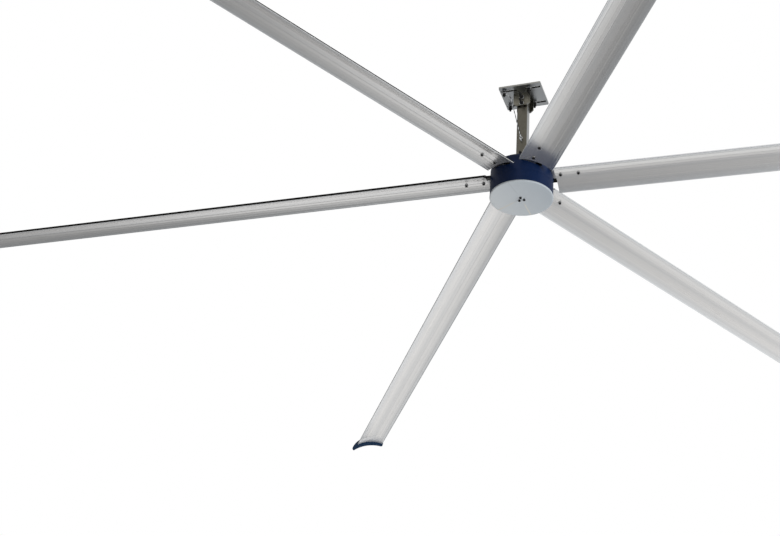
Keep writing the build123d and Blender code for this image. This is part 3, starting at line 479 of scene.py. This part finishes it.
# Each tone is laid over the ones before it: the tube's painted shade, the painted highlight on its right
# face, the plate's two tones and the painted shade in the slots.
LAID_OVER = ((tube_painted_shade, "#524f47"), (right_face_painted_highlight, "#8d9092"), (in_plate, "#8c8b86"), (at_under, "#a0a3a5"),
             (slot_painted_shade, "#1c1b19"))
for amount, code in LAID_OVER:
    tone = add(tree, "Mix", {0: amount, 6: tone, 7: linear(code)}, data_type="RGBA")[2]
tree.links.new(tone, inputs["Base Color"])
print("tones laid over the zinc", len(LAID_OVER))

# %% [markdown]
# The other metals are plain: a tone, a grain and a roughness each. Turned and laminated ones are
# stretched along the tool's path. The bolts are black oxide, which is a dull coat over the steel.

# %% Other metals
PLAIN_METALS = (
    ("zinc_fastener", "bright_zinc_plate", "#b4b6b8", "#cfd1d2", 0.8, (0.22, 0.34), 0.05, (1, 1, 1)),
    ("rope_steel", "drawn_rope_wire", "#bfc2c4", "#eceded", 0.9, (0.16, 0.28), 0.25, (1, 1, 1)),
    ("turned_steel", "turned_steel", "#8e8f91", "#a6a7a9", 0.5, (0.2, 0.3), 0.08, (0.15, 0.15, 1)),
    ("core_steel", "varnished_laminations", "#3b3d40", "#54565a", 0.8, (0.4, 0.55), 0.3, (0.05, 0.05, 1)),
    ("copper_winding", "enamelled_copper_wire", "#7a3418", "#b4602f", 0.9, (0.25, 0.35), 0.5, (1, 1, 0.1)),
    ("magnet_plate", "nickel_plate", "#a9aaa8", "#bfc0be", 0.6, (0.18, 0.25), 0.03, (1, 1, 1)),
    ("cast_aluminium", "cast_aluminium", "#8f9194", "#a7a9ab", 1.6, (0.45, 0.6), 0.35, (1, 1, 1)),
)
for slot, name, dark, light, grain_mm, roughness, bump, stretch in PLAIN_METALS:
    looks[slot] = finish(name, dark, light, grain_mm, 1.0, roughness, bump, stretch)[0]
looks["black_bolt"] = finish("black_oxide_steel", "#101010", "#1c1b1a", 0.8, roughness=(0.42, 0.55), bump=0.1,
                             **{"Specular IOR Level": 0.2})[0]
# Painted shade: a darker, rougher copy of the rope wire.
painted_shade_wire = finish("painted_shade_rope_wire", "#3c3d3f", "#5a5b5d", 0.9, 1.0, (0.35, 0.5), 0.25)[0]
print("metals", len(PLAIN_METALS) + 2)

# %% [markdown]
# The struts are milled aluminium. A near-black painted shade lies on each one's rear wall, and on a
# narrow band of its underside beside that wall. A point's angle from the nearest blade's own line
# tells how far to the rear it is, and the surface's normal tells the wall from the underside.

# %% Strut aluminium
looks["strut_aluminium"], tree, inputs, tone = finish(
    "milled_aluminium", "#b9babb", "#cccdce", 0.6, metallic=1.0, roughness=(0.28, 0.4), stretch=(1, 0.1, 1))
BLADE_STEP, REST_TURN = 60.0, 2.0
REAR_ANGLES, EDGE_ANGLES, WALL_NORMALS = np.radians((3.0, 4.5)), np.radians((7.5, 8.5)), (0.5, 0.3)
half_step = math.radians(BLADE_STEP / 2)
parts = add(tree, "SeparateXYZ", {0: add(tree, "TexCoord")["Object"]})
heading = add(tree, "Math", {0: parts[1], 1: parts[0]}, operation="ARCTAN2")[0]
heading = add(tree, "Math", {0: heading, 1: math.radians(REST_TURN)}, operation="SUBTRACT")[0]
off_line = add(tree, "Math", {0: heading, 1: half_step, 2: -half_step}, operation="WRAP")[0]
at_rear, last_edge = [add(tree, "MapRange", {0: off_line, 1: start, 2: end})[0]
                      for start, end in (REAR_ANGLES, EDGE_ANGLES)]
facing = add(tree, "SeparateXYZ", {0: add(tree, "NewGeometry")["Normal"]})[2]
facing = add(tree, "Math", {0: facing}, operation="ABSOLUTE")[0]
on_wall = add(tree, "MapRange", {0: facing, 1: WALL_NORMALS[0], 2: WALL_NORMALS[1]})[0]
rear_wall = add(tree, "Math", {0: at_rear, 1: on_wall}, operation="MULTIPLY")[0]
painted_shade = add(tree, "Math", {0: rear_wall, 1: last_edge}, operation="MAXIMUM")[0]
# The near-black tone is painted shade on the rear wall and on the band beside it.
tone = add(tree, "Mix", {0: painted_shade, 6: tone, 7: linear("#1c1c1b")}, data_type="RGBA")[2]
tree.links.new(tone, inputs["Base Color"])
print("finishes so far", len(looks))

# %% [markdown]
# Wire fittings: the rope runs between two fixed ends. The rings it hangs in are bent from round
# wire, so each is a torus, smoother than the CAD rings.

# %% Rope and its fittings
fitted(wire_rope, "hanger", "rope_steel", "safety_rope")
wire_rope.data.materials.append(painted_shade_wire)
wire_rope.data.polygons.foreach_set("material_index", painted_shade_strands)


# %% Turned and six-sided shapes
def arc_profile(centre, radius, start, end, count):
    """Points (r, z) on part of a circle: centre + radius (cos t, sin t) for even t from start to end."""
    t = np.radians(np.linspace(start, end, count))
    return [(centre[0] + radius * math.cos(a), centre[1] + radius * math.sin(a)) for a in t]


def torus(ring_radius, wire_radius, turns=48):
    """Wire ring in the XY plane: a small circle of radius wire carried round a large one."""
    return lathe(arc_profile((ring_radius, 0), wire_radius, 0, 360 * 15 / 16, 16), turns, ring=True)


def at(x, y, z, turn_axis=None, angle=0.0):
    """Matrix that turns about one axis, then moves; lengths in millimetres, angle in degrees."""
    matrix = Matrix.Translation(Vector((x, y, z)) * MM)
    return matrix @ Matrix.Rotation(math.radians(angle), 4, turn_axis) if turn_axis else matrix


def pointing(start, end):
    """Matrix with its origin at the start and its Z axis towards the end."""
    start, end = Vector(start), Vector(end)
    return Matrix.Translation(start) @ (end - start).to_track_quat("Z", "Y").to_matrix().to_4x4()


def swage(radius, length, marks=3):
    """Pressed sleeve along Z from 0: a rod with rounded ends and a few shallow crimp rings."""
    z = np.linspace(0, length, 61)
    ends = np.minimum(z, length - z)
    edge = np.minimum(ends / (radius * 0.35), 1)
    crimp = 0.10 * radius * np.maximum(np.cos(z / length * TURN * marks), 0) ** 2
    r = radius * np.sqrt(1 - 0.30 * (1 - edge) ** 2) - crimp * edge
    return lathe(list(zip(r, z)), 28)


def hexagon(across, turns):
    """Radius of a hexagon at even angles: across / 2 / cos(a), a being off the nearest flat's middle."""
    a = np.arange(turns) / turns * TURN
    return across / 2 / np.cos((a + TURN / 12) % (TURN / 6) - TURN / 12)


def hexed(across, low, high, chamfer=0.12, turns=72):
    """Hexagon bar with turned corners: its radius is cut to that of a cone at both ends."""
    cut = chamfer * across / 2
    ends = ((0, 0.93), (0.30, 1.0), (0.9, 1.16))
    rows = [(low + k * cut, reach) for k, reach in ends]
    rows += [(high - k * cut, reach) for k, reach in ends[::-1]]
    six = hexagon(across, turns)
    return lathe([(np.minimum(six, across / 2 * reach), z) for z, reach in rows], turns)


def washer(outer, inner, low, high):
    """Flat ring with a small round on its outer edges."""
    e = min((high - low) * 0.3, 0.0005)
    return lathe([(inner, low), (outer - e, low), (outer, low + e), (outer, high - e), (outer - e, high),
                  (inner, high)], turns=48, ring=True)


def threaded(radius, low, high, pitch, turns=24):
    """Threaded rod: r = radius - depth |2 frac(z / pitch - a / turn) - 1|, run out to a cone at each end."""
    count = max(int((high - low) / pitch * 6), 4)
    z = np.linspace(low, high, count + 1)
    a = np.arange(turns) / turns
    wave = np.abs(2 * ((z[:, None] / pitch - a[None, :]) % 1) - 1)
    r = radius - 0.55 * pitch * wave
    edge = np.minimum(z - low, high - z)[:, None]
    r = np.minimum(r, radius - 0.8 * pitch + edge)
    return lathe(list(zip(r, z)), turns)


# %% Lug, guide, link and eye bolt
lug_middle = -24.5 * MM
lug = placed(washer(13 * MM, 6.5 * MM, lug_middle - 2 * MM, lug_middle + 2 * MM), at(-94, -68, 0))
sleeve_end = Vector(rope_route[0])
run = (Vector(rope_route[1]) - sleeve_end).normalized()
lug_sleeve = placed(swage(4.5 * MM, 11.5 * MM), pointing(sleeve_end - run * 9.5 * MM, sleeve_end))
fitted(new_piece("rope_terminal", joined([lug, lug_sleeve])), "hanger", "zinc_fastener", "rope_lug")

guide_eye = placed(torus(5 * MM, 1.6 * MM), at(-56, -37, -66))
guide_stem = placed(lathe([(1.6 * MM, z) for z in (0, 4.6 * MM)], 16), at(-51.2, -37, -66, "Y", 90))
guide_foot = lathe([(3.2 * MM, 0), (3.2 * MM, 0.8 * MM), (2.0 * MM, 1.6 * MM)], 20)
guide_foot = placed(guide_foot, at(-47, -37, -66, "Y", -90))
guide = new_piece("cheek_eye", joined([guide_eye, guide_stem, guide_foot]))
fitted(guide, "hanger", "zinc_fastener", "rope_guide")

end_axis = (Vector(rope_route[-1]) - Vector(rope_route[-2])).normalized()
end_start = Vector(rope_route[-1])
end_sleeve = placed(swage(4.2 * MM, 15 * MM), pointing(end_start, end_start + end_axis))
link = placed(torus(7 * MM, 1.8 * MM), at(0, -40, -320.3, "X", 90))
fitted(new_piece("rope_eye_link", joined([end_sleeve, link])), "hanger", "zinc_fastener", "rope_end")

in_tube = at(0, -29, -331, "X", 90)
eye_ring = placed(torus(8 * MM, 2.2 * MM), at(0, -40, -331, "Y", 90))
eye_collar = placed(lathe([(4.4 * MM, 0), (4.4 * MM, 0.9 * MM), (2.9 * MM, 3.0 * MM)], 28), in_tube)
eye_stem = placed(threaded(2.2 * MM, -9 * MM, 0.5 * MM, 0.7 * MM), in_tube)
eye_nut = placed(hexed(8.8 * MM, -6 * MM, -3 * MM), in_tube)
eye = new_piece("tube_eye_bolt", joined([eye_ring, eye_collar, eye_stem, eye_nut]))
fitted(eye, "hanger", "zinc_fastener", "eye_bolt")

# %% [markdown]
# The blades are aluminium extrusions: one section pushed through a die for its whole length. So the
# mesh is one section carried straight out along the blade. Its underside has shallow flutes, which
# the photo shows as thin lines along the blade. The inside is hollow with two webs, seen at the root.

# %% Blade section
BLADE_AXIS, PITCH, DROOP = -0.553, -10.8, 0.4
ROOT, TIP = 0.184, 3.6515
FRONT, REAR, SHIFT = -0.072, 0.120, 0.024
UNDER_CROWN, UNDER_RISE = -0.0093, 0.022
TOP_CROWN, TOP_RISE = 0.0147, 0.0405
SKIN, WEB_MIDDLE, WEB = 0.002, 0.031, 0.002
flute_places = np.array([-0.0650, -0.048, -0.016, 0.006, 0.046, 0.072, 0.098, 0.1125])
flute_depths = np.array([0.0010, 0.00055, 0.00055, 0.0008, 0.00055, 0.00055, 0.00055, 0.0010])
FLUTE_WIDTH, EDGE_RADIUS = 0.0018, 0.0022


def arc_height(y, crown, rise, reach=0.096):
    """Height of a circular arc that falls by rise at reach from its crown: crown - R + sqrt(R^2 - y'^2)."""
    radius = (rise * rise + reach * reach) / (2 * rise)
    return crown - radius + np.sqrt(radius * radius - (y - SHIFT) ** 2)


def flutes(y):
    """Depth of the shallow grooves at a place across the blade: a sum of narrow bell curves."""
    return (flute_depths * np.exp(-((y[:, None] - flute_places) / FLUTE_WIDTH) ** 2)).sum(axis=1)


def rounded_end(y, z_low, z_high, radius, side, count=7):
    """Half of a rounded square edge: two quarter circles joined by a short flat."""
    t = np.radians(np.linspace(0, 90, count))
    start = y - side * radius
    low = np.stack([start + side * radius * np.sin(t), z_low + radius - radius * np.cos(t)], axis=1)
    high = np.stack([start + side * radius * np.cos(t), z_high - radius + radius * np.sin(t)], axis=1)
    return np.vstack([low, high])


# The outer loop runs along the underside to the trailing edge and back over the top.
across = np.linspace(FRONT + 0.0024, REAR - 0.0024, 260)
under = np.stack([across, arc_height(across, UNDER_CROWN, UNDER_RISE) + flutes(across)], axis=1)
over = np.stack([across, arc_height(across, TOP_CROWN, TOP_RISE)], axis=1)[::-1]
rear_edge = rounded_end(REAR, under[-1, 1], over[0, 1], EDGE_RADIUS, 1)
front_edge = rounded_end(FRONT, under[0, 1], over[-1, 1], EDGE_RADIUS, -1)[::-1]
outer_loop = np.vstack([under, rear_edge[1:-1], over, front_edge[1:-1]])


def cell_loop(start, end, count=40):
    """One hollow of the blade: the skins' inner arcs between two places across."""
    y = np.linspace(start, end, count)
    low = np.stack([y, arc_height(y, UNDER_CROWN, UNDER_RISE) + SKIN + 0.0004], axis=1)
    high = np.stack([y, arc_height(y, TOP_CROWN, TOP_RISE) - SKIN], axis=1)[::-1]
    return np.vstack([low, high])


cells = [cell_loop(FRONT + 0.006, -WEB_MIDDLE - WEB / 2),
         cell_loop(-WEB_MIDDLE + WEB / 2, WEB_MIDDLE - WEB / 2),
         cell_loop(WEB_MIDDLE + WEB / 2, REAR - 0.006)]
print("section points", len(outer_loop), "hollows", len(cells))


# %% Blades
def end_triangles(loops):
    """Triangles between the first of some flat loops and the others inside it, all turning left."""
    places = np.vstack(loops)
    for triangle in tessellate_polygon([[Vector((*p, 0)) for p in loop] for loop in loops]):
        a, b, c = places[list(triangle)]
        turning = (b[0] - a[0]) * (c[1] - a[1]) - (b[1] - a[1]) * (c[0] - a[0])
        yield triangle if turning > 0 else triangle[::-1]


def blade_matrix(index):
    """Where a blade's own frame stands: X out along it, Y to its trailing edge, Z off its top."""
    turned = Matrix.Rotation(math.radians(REST_TURN + BLADE_STEP * index), 4, "Z")
    drooped = turned @ Matrix.Translation((0, 0, BLADE_AXIS)) @ Matrix.Rotation(math.radians(DROOP), 4, "Y")
    return drooped @ Matrix.Rotation(math.radians(PITCH), 4, "X")


def extrusion(loops, stations):
    """Section of one outer loop and its hollows carried along X, with both cut ends closed.

    A loop's point (y, z) gives one point (x, y, z) at each station; the hollows' faces look inwards.
    """
    points, faces, start = [], [], 0
    rows = len(stations)
    for number, loop in enumerate(loops):
        table = np.concatenate([np.c_[np.full(len(loop), x), loop] for x in stations])
        quads = grid_faces(rows, len(loop), start=start)
        faces += [q[::-1] for q in quads] if number else quads
        points.append(table)
        start += len(table)
    sizes = np.cumsum([0] + [len(loop) for loop in loops])
    offsets = np.cumsum([0] + [rows * len(loop) for loop in loops])

    def index_of(k, row):
        """Index in the whole table of the section's point k at a station."""
        loop = int(np.searchsorted(sizes, k, side="right")) - 1
        return int(offsets[loop] + row * len(loops[loop]) + k - sizes[loop])

    for triangle in end_triangles(loops):
        faces.append([index_of(k, rows - 1) for k in triangle])
        faces.append([index_of(k, 0) for k in triangle[::-1]])
    return np.concatenate(points), faces


section = extrusion([outer_loop] + cells, np.linspace(ROOT, TIP, 25))
section_points = section[0]
middle_height = arc_height(section_points[:, 1], (UNDER_CROWN + TOP_CROWN) / 2, (UNDER_RISE + TOP_RISE) / 2)
blade_places = np.c_[section_points[:, :2], section_points[:, 2] > middle_height].astype(np.float32)
print("blade faces", len(section[1]))

# %% [markdown]
# Anodised aluminium straight from the die is a satin metal with fine lines along its length. The
# pattern follows the blade, not the room, so the mesh carries its own coordinates: the distance
# along the blade, the place across it, and whether the skin is the upper one. A dark painted shade
# lies on the upper skin by the trailing edge. The last hand's breadth before the cap is rougher and
# less metallic, and a painted light makes it paler there.

# %% Tone of the extruded aluminium
looks["blade_aluminium"], tree, inputs, _ = finish("satin_anodised_extrusion", "#cdcdcd", "#dadad9", 3.0,
                                                   metallic=1.0, roughness=(0.30, 0.40), bump=0.02)
MATT_AND_LIGHT_START, MATT_AND_LIGHT_END, PAINTED_SHADE_EDGE = TIP - 0.115, TIP - 0.065, (0.088, 0.098)
DIE_SCALE, SMEAR_SCALE = (0.12, 130.0, 3.0), (7.0, 26.0, 5.0)
DIE_TONES = [(0.30, "#bcbdbf"), (0.50, "#d2d2d2"), (0.70, "#e6e4e3")]
BAND_TONES = [
    (0.0, "#dde0e3"), (0.05, "#cfd2d4"), (0.13, "#d1d1d0"), (0.30, "#dedcd9"), (0.42, "#cdcccb"),
    (0.50, "#c7c7c6"), (0.56, "#d7d5d3"), (0.70, "#dcdad7"), (0.84, "#d0d0d0"), (0.94, "#d3d6d8"),
    (1.0, "#e2e5e8")]
own = add(tree, "Attribute", attribute_name="blade_place")["Vector"]
along, across, on_top = add(tree, "SeparateXYZ", {0: own})
# The widest die lines are 8 mm apart, coarser than real ones, which are too fine to show.
die_place = add(tree, "VectorMath", {0: own, 1: DIE_SCALE}, operation="MULTIPLY")[0]
die_lines = {"Vector": die_place, "Scale": 1.0, "Detail": 5.0, "Roughness": 0.65}
die_lines = add(tree, "TexNoise", die_lines)[0]
die_tone = add(tree, "ValToRGB", {0: die_lines}, stops=DIE_TONES)[0]
share_across = add(tree, "MapRange", {0: across, 1: FRONT, 2: REAR})[0]
bands = add(tree, "ValToRGB", {0: share_across}, stops=BAND_TONES)[0]
tone = add(tree, "Mix", {0: 0.55, 6: die_tone, 7: bands}, data_type="RGBA")[2]
smear_place = add(tree, "VectorMath", {0: own, 1: SMEAR_SCALE}, operation="MULTIPLY")[0]
smear = {"Vector": smear_place, "Scale": 1.0, "Detail": 7.0, "Roughness": 0.7}
smear = add(tree, "TexNoise", smear)[0]
smeared = add(tree, "MapRange", {0: smear, 1: 0.56, 2: 0.78, 4: 0.22})[0]
# The smears move the front edge of the painted shade to and fro, so it isn't a ruled line.
wander = add(tree, "Math", {0: smear, 1: 0.030, 2: across}, operation="MULTIPLY_ADD")[0]
tail = add(tree, "MapRange", {0: wander, 1: PAINTED_SHADE_EDGE[0], 2: PAINTED_SHADE_EDGE[1]})[0]
painted_shade = add(tree, "Math", {0: tail, 1: on_top}, operation="MULTIPLY")[0]
# Before the cap the skin turns rougher and less metallic, and it is painted paler: painted light over the
# shadow that the cap throws there.
matt_and_painted_light = {0: along, 1: MATT_AND_LIGHT_START, 2: MATT_AND_LIGHT_END}
matt_and_painted_light = add(tree, "MapRange", matt_and_painted_light, interpolation_type="SMOOTHSTEP")[0]
# Laid over the tone: smears of dirt, the dark painted shade by the trailing edge, and the pale painted light
# before the cap.
for amount, code in ((smeared, "#a39f9b"), (painted_shade, "#262624"), (matt_and_painted_light, "#fafafa")):
    tone = add(tree, "Mix", {0: amount, 6: tone, 7: linear(code)}, data_type="RGBA")[2]
tree.links.new(tone, inputs["Base Color"])
print("tones across a blade", len(BAND_TONES))

# %% Gloss of the extruded aluminium
# The anodised film scatters a part of the light, so even clean skin isn't wholly a mirror.
# Where the painted shade lies, the metal's gloss is taken away as well, so that it stays dark.
clean_metal = add(tree, "MapRange", {0: matt_and_painted_light, 3: 0.82, 4: 0.75})[0]
metal = add(tree, "Mix", {0: painted_shade, 2: clean_metal, 3: 0.0}, data_type="FLOAT")[0]
tree.links.new(metal, inputs["Metallic"])
gloss = add(tree, "MapRange", {0: painted_shade, 3: 0.5, 4: 0.0})[0]
tree.links.new(gloss, inputs["Specular IOR Level"])
rough = add(tree, "MapRange", {0: die_lines, 1: 0.3, 2: 0.7, 3: 0.20, 4: 0.28})[0]
rough = add(tree, "Mix", {0: matt_and_painted_light, 2: rough, 3: 0.6}, data_type="FLOAT")[0]
rough = add(tree, "Mix", {0: painted_shade, 2: rough, 3: 0.9}, data_type="FLOAT")[0]
tree.links.new(rough, inputs["Roughness"])
relief = add(tree, "Bump", {"Height": die_lines, "Strength": 0.05, "Distance": 0.0004})[0]
tree.links.new(relief, inputs["Normal"])
print("aluminium nodes", len(tree.nodes))

# %% Six blades
for index in range(6):
    shape = placed(section, blade_matrix(index))
    blade = new_piece(f"fluted_blade_{index + 1}", shape, smooth=math.radians(30))
    layer = blade.data.attributes.new("blade_place", "FLOAT_VECTOR", "POINT")
    layer.data.foreach_set("vector", blade_places.ravel())
    fitted(blade, "rotor", "blade_aluminium", f"blade_{index + 1}")

# %% [markdown]
# Each blade ends in a moulded blue cap: a crescent that stands out below the blade and droops to a
# rounded tail. Its outline is two arcs, with the corners rounded by a moving average along the
# closed line. The rim stands a little proud of a sunk outer face, as moulded covers have.

# %% End caps
def arc_through(a, b, c, count):
    """Points on the circle through three points, from a to c: its centre is equally far from all."""
    a, b, c = [np.asarray(p, float) for p in (a, b, c)]
    centre = np.linalg.solve(2 * np.array([b - a, c - a]), np.array([b @ b - a @ a, c @ c - a @ a]))
    start, end = [math.atan2(*(p - centre)[::-1]) for p in (a, c)]
    middle = math.atan2(*(b - centre)[::-1])
    t = np.linspace(start, end, count)
    if not min(start, end) < middle < max(start, end):
        t = np.linspace(start, end + (TURN if end < start else -TURN), count)
    radius = np.linalg.norm(a - centre)
    return centre + radius * np.stack([np.cos(t), np.sin(t)], axis=1)


def rounded_loop(loop, reach, step):
    """Closed line at even steps, each point the mean of its neighbours within reach / 2 on both sides."""
    closed = np.vstack([loop, loop[:1]])
    run = np.r_[0, np.cumsum(np.linalg.norm(np.diff(closed, axis=0), axis=1))]
    count = int(run[-1] / step)
    at_run = np.linspace(0, run[-1], count, endpoint=False)
    even = np.stack([np.interp(at_run, run, closed[:, k]) for k in range(2)], axis=1)
    half = max(int(reach / step / 2), 1)
    return sum(np.roll(even, k, axis=0) for k in range(-half, half + 1)) / (2 * half + 1)


def inset(loop, distance):
    """Loop drawn in by a small distance, square to its own direction."""
    way = np.roll(loop, -1, axis=0) - np.roll(loop, 1, axis=0)
    way /= np.linalg.norm(way, axis=1)[:, None]
    return loop + distance * np.stack([-way[:, 1], way[:, 0]], axis=1)


def stacked(loops, heights):
    """Closed shape through loops of equal count at given X, its two ends closed by flat faces."""
    count = len(loops[0])
    points = np.concatenate([np.c_[np.full(count, x), loop] for x, loop in zip(heights, loops)])
    faces = grid_faces(len(loops), count)
    last = (len(loops) - 1) * count
    faces += [list(triangle[::-1]) for triangle in end_triangles(loops[:1])]
    faces += [[last + k for k in triangle] for triangle in end_triangles(loops[-1:])]
    return points, faces


cap_under = arc_through((-66, -51), (22, -38), (157, -77), 60)
cap_over = arc_through((165, -60), (22, 25), (-81, -22), 60)
CAP_ROUND, CAP_STEP = 0.022, 0.0014
cap_loop = rounded_loop(np.vstack([cap_under, cap_over]) * MM, CAP_ROUND, CAP_STEP)
cap_insets = [0.0015, 0.0004, 0.0, 0.0, 0.0004, 0.0015, 0.0042, 0.0050]
cap_steps = [0.0, 0.0004, 0.0015, 0.0045, 0.0056, 0.0060, 0.0060, 0.0048]
cap_shape = stacked([inset(cap_loop, d) for d in cap_insets], [TIP + x for x in cap_steps])
for index in range(6):
    cap = new_piece(f"moulded_cap_{index + 1}", placed(cap_shape, blade_matrix(index)))
    fitted(cap, "rotor", "blue_plastic", f"end_cap_{index + 1}")

# %% [markdown]
# The drum's cover is a pan pressed from sheet, so its rim turns up in a soft round, not in a sharp
# corner. It is a profile of radius and height turned round the axis. Three small socket screws
# with tall cap heads hold it near the middle.

# %% Cover and its screws
COVER_LOW, COVER_TOP, COVER_RADIUS, COVER_SKIN = -0.6915, -0.6825, 0.170, 0.0025
SCREW_CIRCLE, SCREW_TURNS = 15.5, (27, 147, 267)
corner = arc_profile((COVER_RADIUS - 0.0045, COVER_LOW + 0.0045), 0.0045, -90, 0, 10)
inner_corner = arc_profile((COVER_RADIUS - 0.0050, COVER_LOW + 0.0050), 0.0025, 0, -90, 6)
cover_profile = [(r, COVER_LOW) for r in (0.02, 0.06, 0.11, 0.150)] + corner + [(COVER_RADIUS, COVER_TOP)]
cover_profile += [(COVER_RADIUS - COVER_SKIN, COVER_TOP)] + inner_corner
cover_profile += [(0.15, COVER_LOW + COVER_SKIN), (0.05, COVER_LOW + COVER_SKIN)]
fitted(new_piece("pressed_cover", lathe(cover_profile, 160)), "rotor", "grey_enamel", "cover_plate")


def socket_screw(radius, height, socket):
    """Cap head on Z from 0 up: a cylinder with a rounded upper edge and a six-sided socket sunk in it."""
    edge = 0.15 * radius
    rows = [(radius, 0.0)] + arc_profile((radius - edge, height - edge), edge, 0, 90, 6)
    six = hexagon(socket, 48)
    rows += [(six * 1.04, height), (six, height * 0.92), (six, height * 0.5)]
    return lathe(rows, 48)


screw_shapes = []
for screw_turn in SCREW_TURNS:
    a = math.radians(screw_turn)
    under_cover = at(SCREW_CIRCLE * math.cos(a), SCREW_CIRCLE * math.sin(a), COVER_LOW / MM, "X", 180)
    screw_shapes.append(placed(socket_screw(6.3 * MM, 8.5 * MM, 6 * MM), under_cover))
fitted(new_piece("cover_cap_screws", joined(screw_shapes)), "rotor", "black_bolt", "cover_screws")

# %% [markdown]
# A forged hexagon bolt has turned corners: the hexagon is cut by a cone, which leaves the curved
# edges seen on every real bolt head. Threads are a true helix. These pieces replace the plain
# CAD bolts, which stay in the physics model.

# %% Blade bolts and nuts
blade_bolt_shapes, blade_nut_shapes, bright_faces = [], [], []
head = hexed(13 * MM, -18.6 * MM, -13.3 * MM)
seat = washer(10.0 * MM, 4.0 * MM, -13.3 * MM, -11.7 * MM)
tail = threaded(4 * MM, 13.0 * MM, 23.3 * MM, 1.25 * MM)
top_nut = hexed(14 * MM, 13.8 * MM, 20.3 * MM)
BOLT_PLACES = (211, 307)
for index in range(6):
    for bolt_place in BOLT_PLACES:
        stand = blade_matrix(index) @ at(bolt_place, 0, 0)
        blade_bolt_shapes += [placed(shape, stand) for shape in (head, seat)]
        bright_faces += [0] * len(head[1]) + [1] * len(seat[1])
        blade_nut_shapes += [placed(shape, stand) for shape in (top_nut, tail)]
blade_hex_bolts = new_piece("blade_hex_bolts", joined(blade_bolt_shapes))
fitted(blade_hex_bolts, "rotor", "black_bolt", "blade_bolts")
# The heads keep their dark finish, while the washers under them are bright zinc.
blade_hex_bolts.data.materials.append(looks["zinc_fastener"])
blade_hex_bolts.data.polygons.foreach_set("material_index", bright_faces)
fitted(new_piece("blade_hex_nuts", joined(blade_nut_shapes)), "rotor", "zinc_fastener", "blade_nuts")

# %% Clamp bolts under the beam plate
clamp_places = [(-94, -68), (46, -68), (-94, 68), (46, 68)]
clamps = {"threaded_bolts": [], "hex_nuts": [], "flat_washers": []}
for number, (x, y) in enumerate(clamp_places):
    # The rope's lug sits between the first bolt's two nuts, so its lock nut is 4 mm lower.
    lock_top = -26.5 if number == 0 else -22.5
    bolt = threaded(6 * MM, -44.5 * MM, -0.5 * MM, 1.75 * MM)
    first_nut = hexed(18 * MM, -22.5 * MM, -12.5 * MM)
    lock_nut = hexed(18 * MM, (lock_top - 10) * MM, lock_top * MM)
    clamps["threaded_bolts"].append(placed(bolt, at(x, y, 0)))
    clamps["hex_nuts"].append(placed(first_nut, at(x, y, 0, "Z", 11 * number)))
    clamps["hex_nuts"].append(placed(lock_nut, at(x, y, 0, "Z", 17 + 23 * number)))
    clamps["flat_washers"].append(placed(washer(12 * MM, 6.3 * MM, -12.5 * MM, -10 * MM), at(x, y, 0)))
for (kind, shapes), slot in zip(clamps.items(), ("black_bolt", "black_bolt", "zinc_fastener")):
    fitted(new_piece(f"clamp_{kind}", joined(shapes)), "hanger", slot, f"clamp_{kind.split('_')[1]}")


# %% Cross bolts of the tube
def cross_bolt_set(heights, seat_at, tail_at):
    """Bolts laid along Y: head to the rear, nut and threaded tail to the front, as tables of shapes."""
    bolts, nuts, washers = [], [], []
    for height in heights:
        lay = at(0, 0, height, "X", -90)
        bolts += [placed(shape, lay) for shape in (
            hexed(18 * MM, seat_at * MM, (seat_at + 7.5) * MM),
            threaded(6 * MM, -tail_at * MM, -(seat_at - 4) * MM, 1.75 * MM),
            lathe([(5.98 * MM, -(seat_at - 5) * MM), (5.98 * MM, (seat_at + 1) * MM)], 32))]
        nuts.append(placed(hexed(18 * MM, -(seat_at + 10) * MM, -seat_at * MM), lay))
        for low in (seat_at - 2.5, -seat_at):
            washers.append(placed(washer(12.5 * MM, 6.3 * MM, low * MM, (low + 2.5) * MM), lay))
    return joined(bolts), joined(nuts), joined(washers)


for label, shapes in (("hanger", cross_bolt_set((-45.5, -85.5), 44.5, 86.5)),
                      ("spigot", cross_bolt_set((-456, -420), 31.5, 55.5))):
    for kind, shape in zip(("bolts", "nuts", "washers"), shapes):
        slot = "zinc_fastener" if kind == "washers" else "black_bolt"
        fitted(new_piece(f"{label}_hex_{kind}", shape), "hanger", slot, f"{label}_{kind}")

# %% [markdown]
# The rest of the CAD pieces keep their meshes as they are and only get their material.

# %% Materials on the CAD pieces
for row in frame["record"]["subparts"]:
    mesh = nodes[row["node"]].data
    mesh.materials.clear()
    mesh.materials.append(looks[row["material_slot"]])
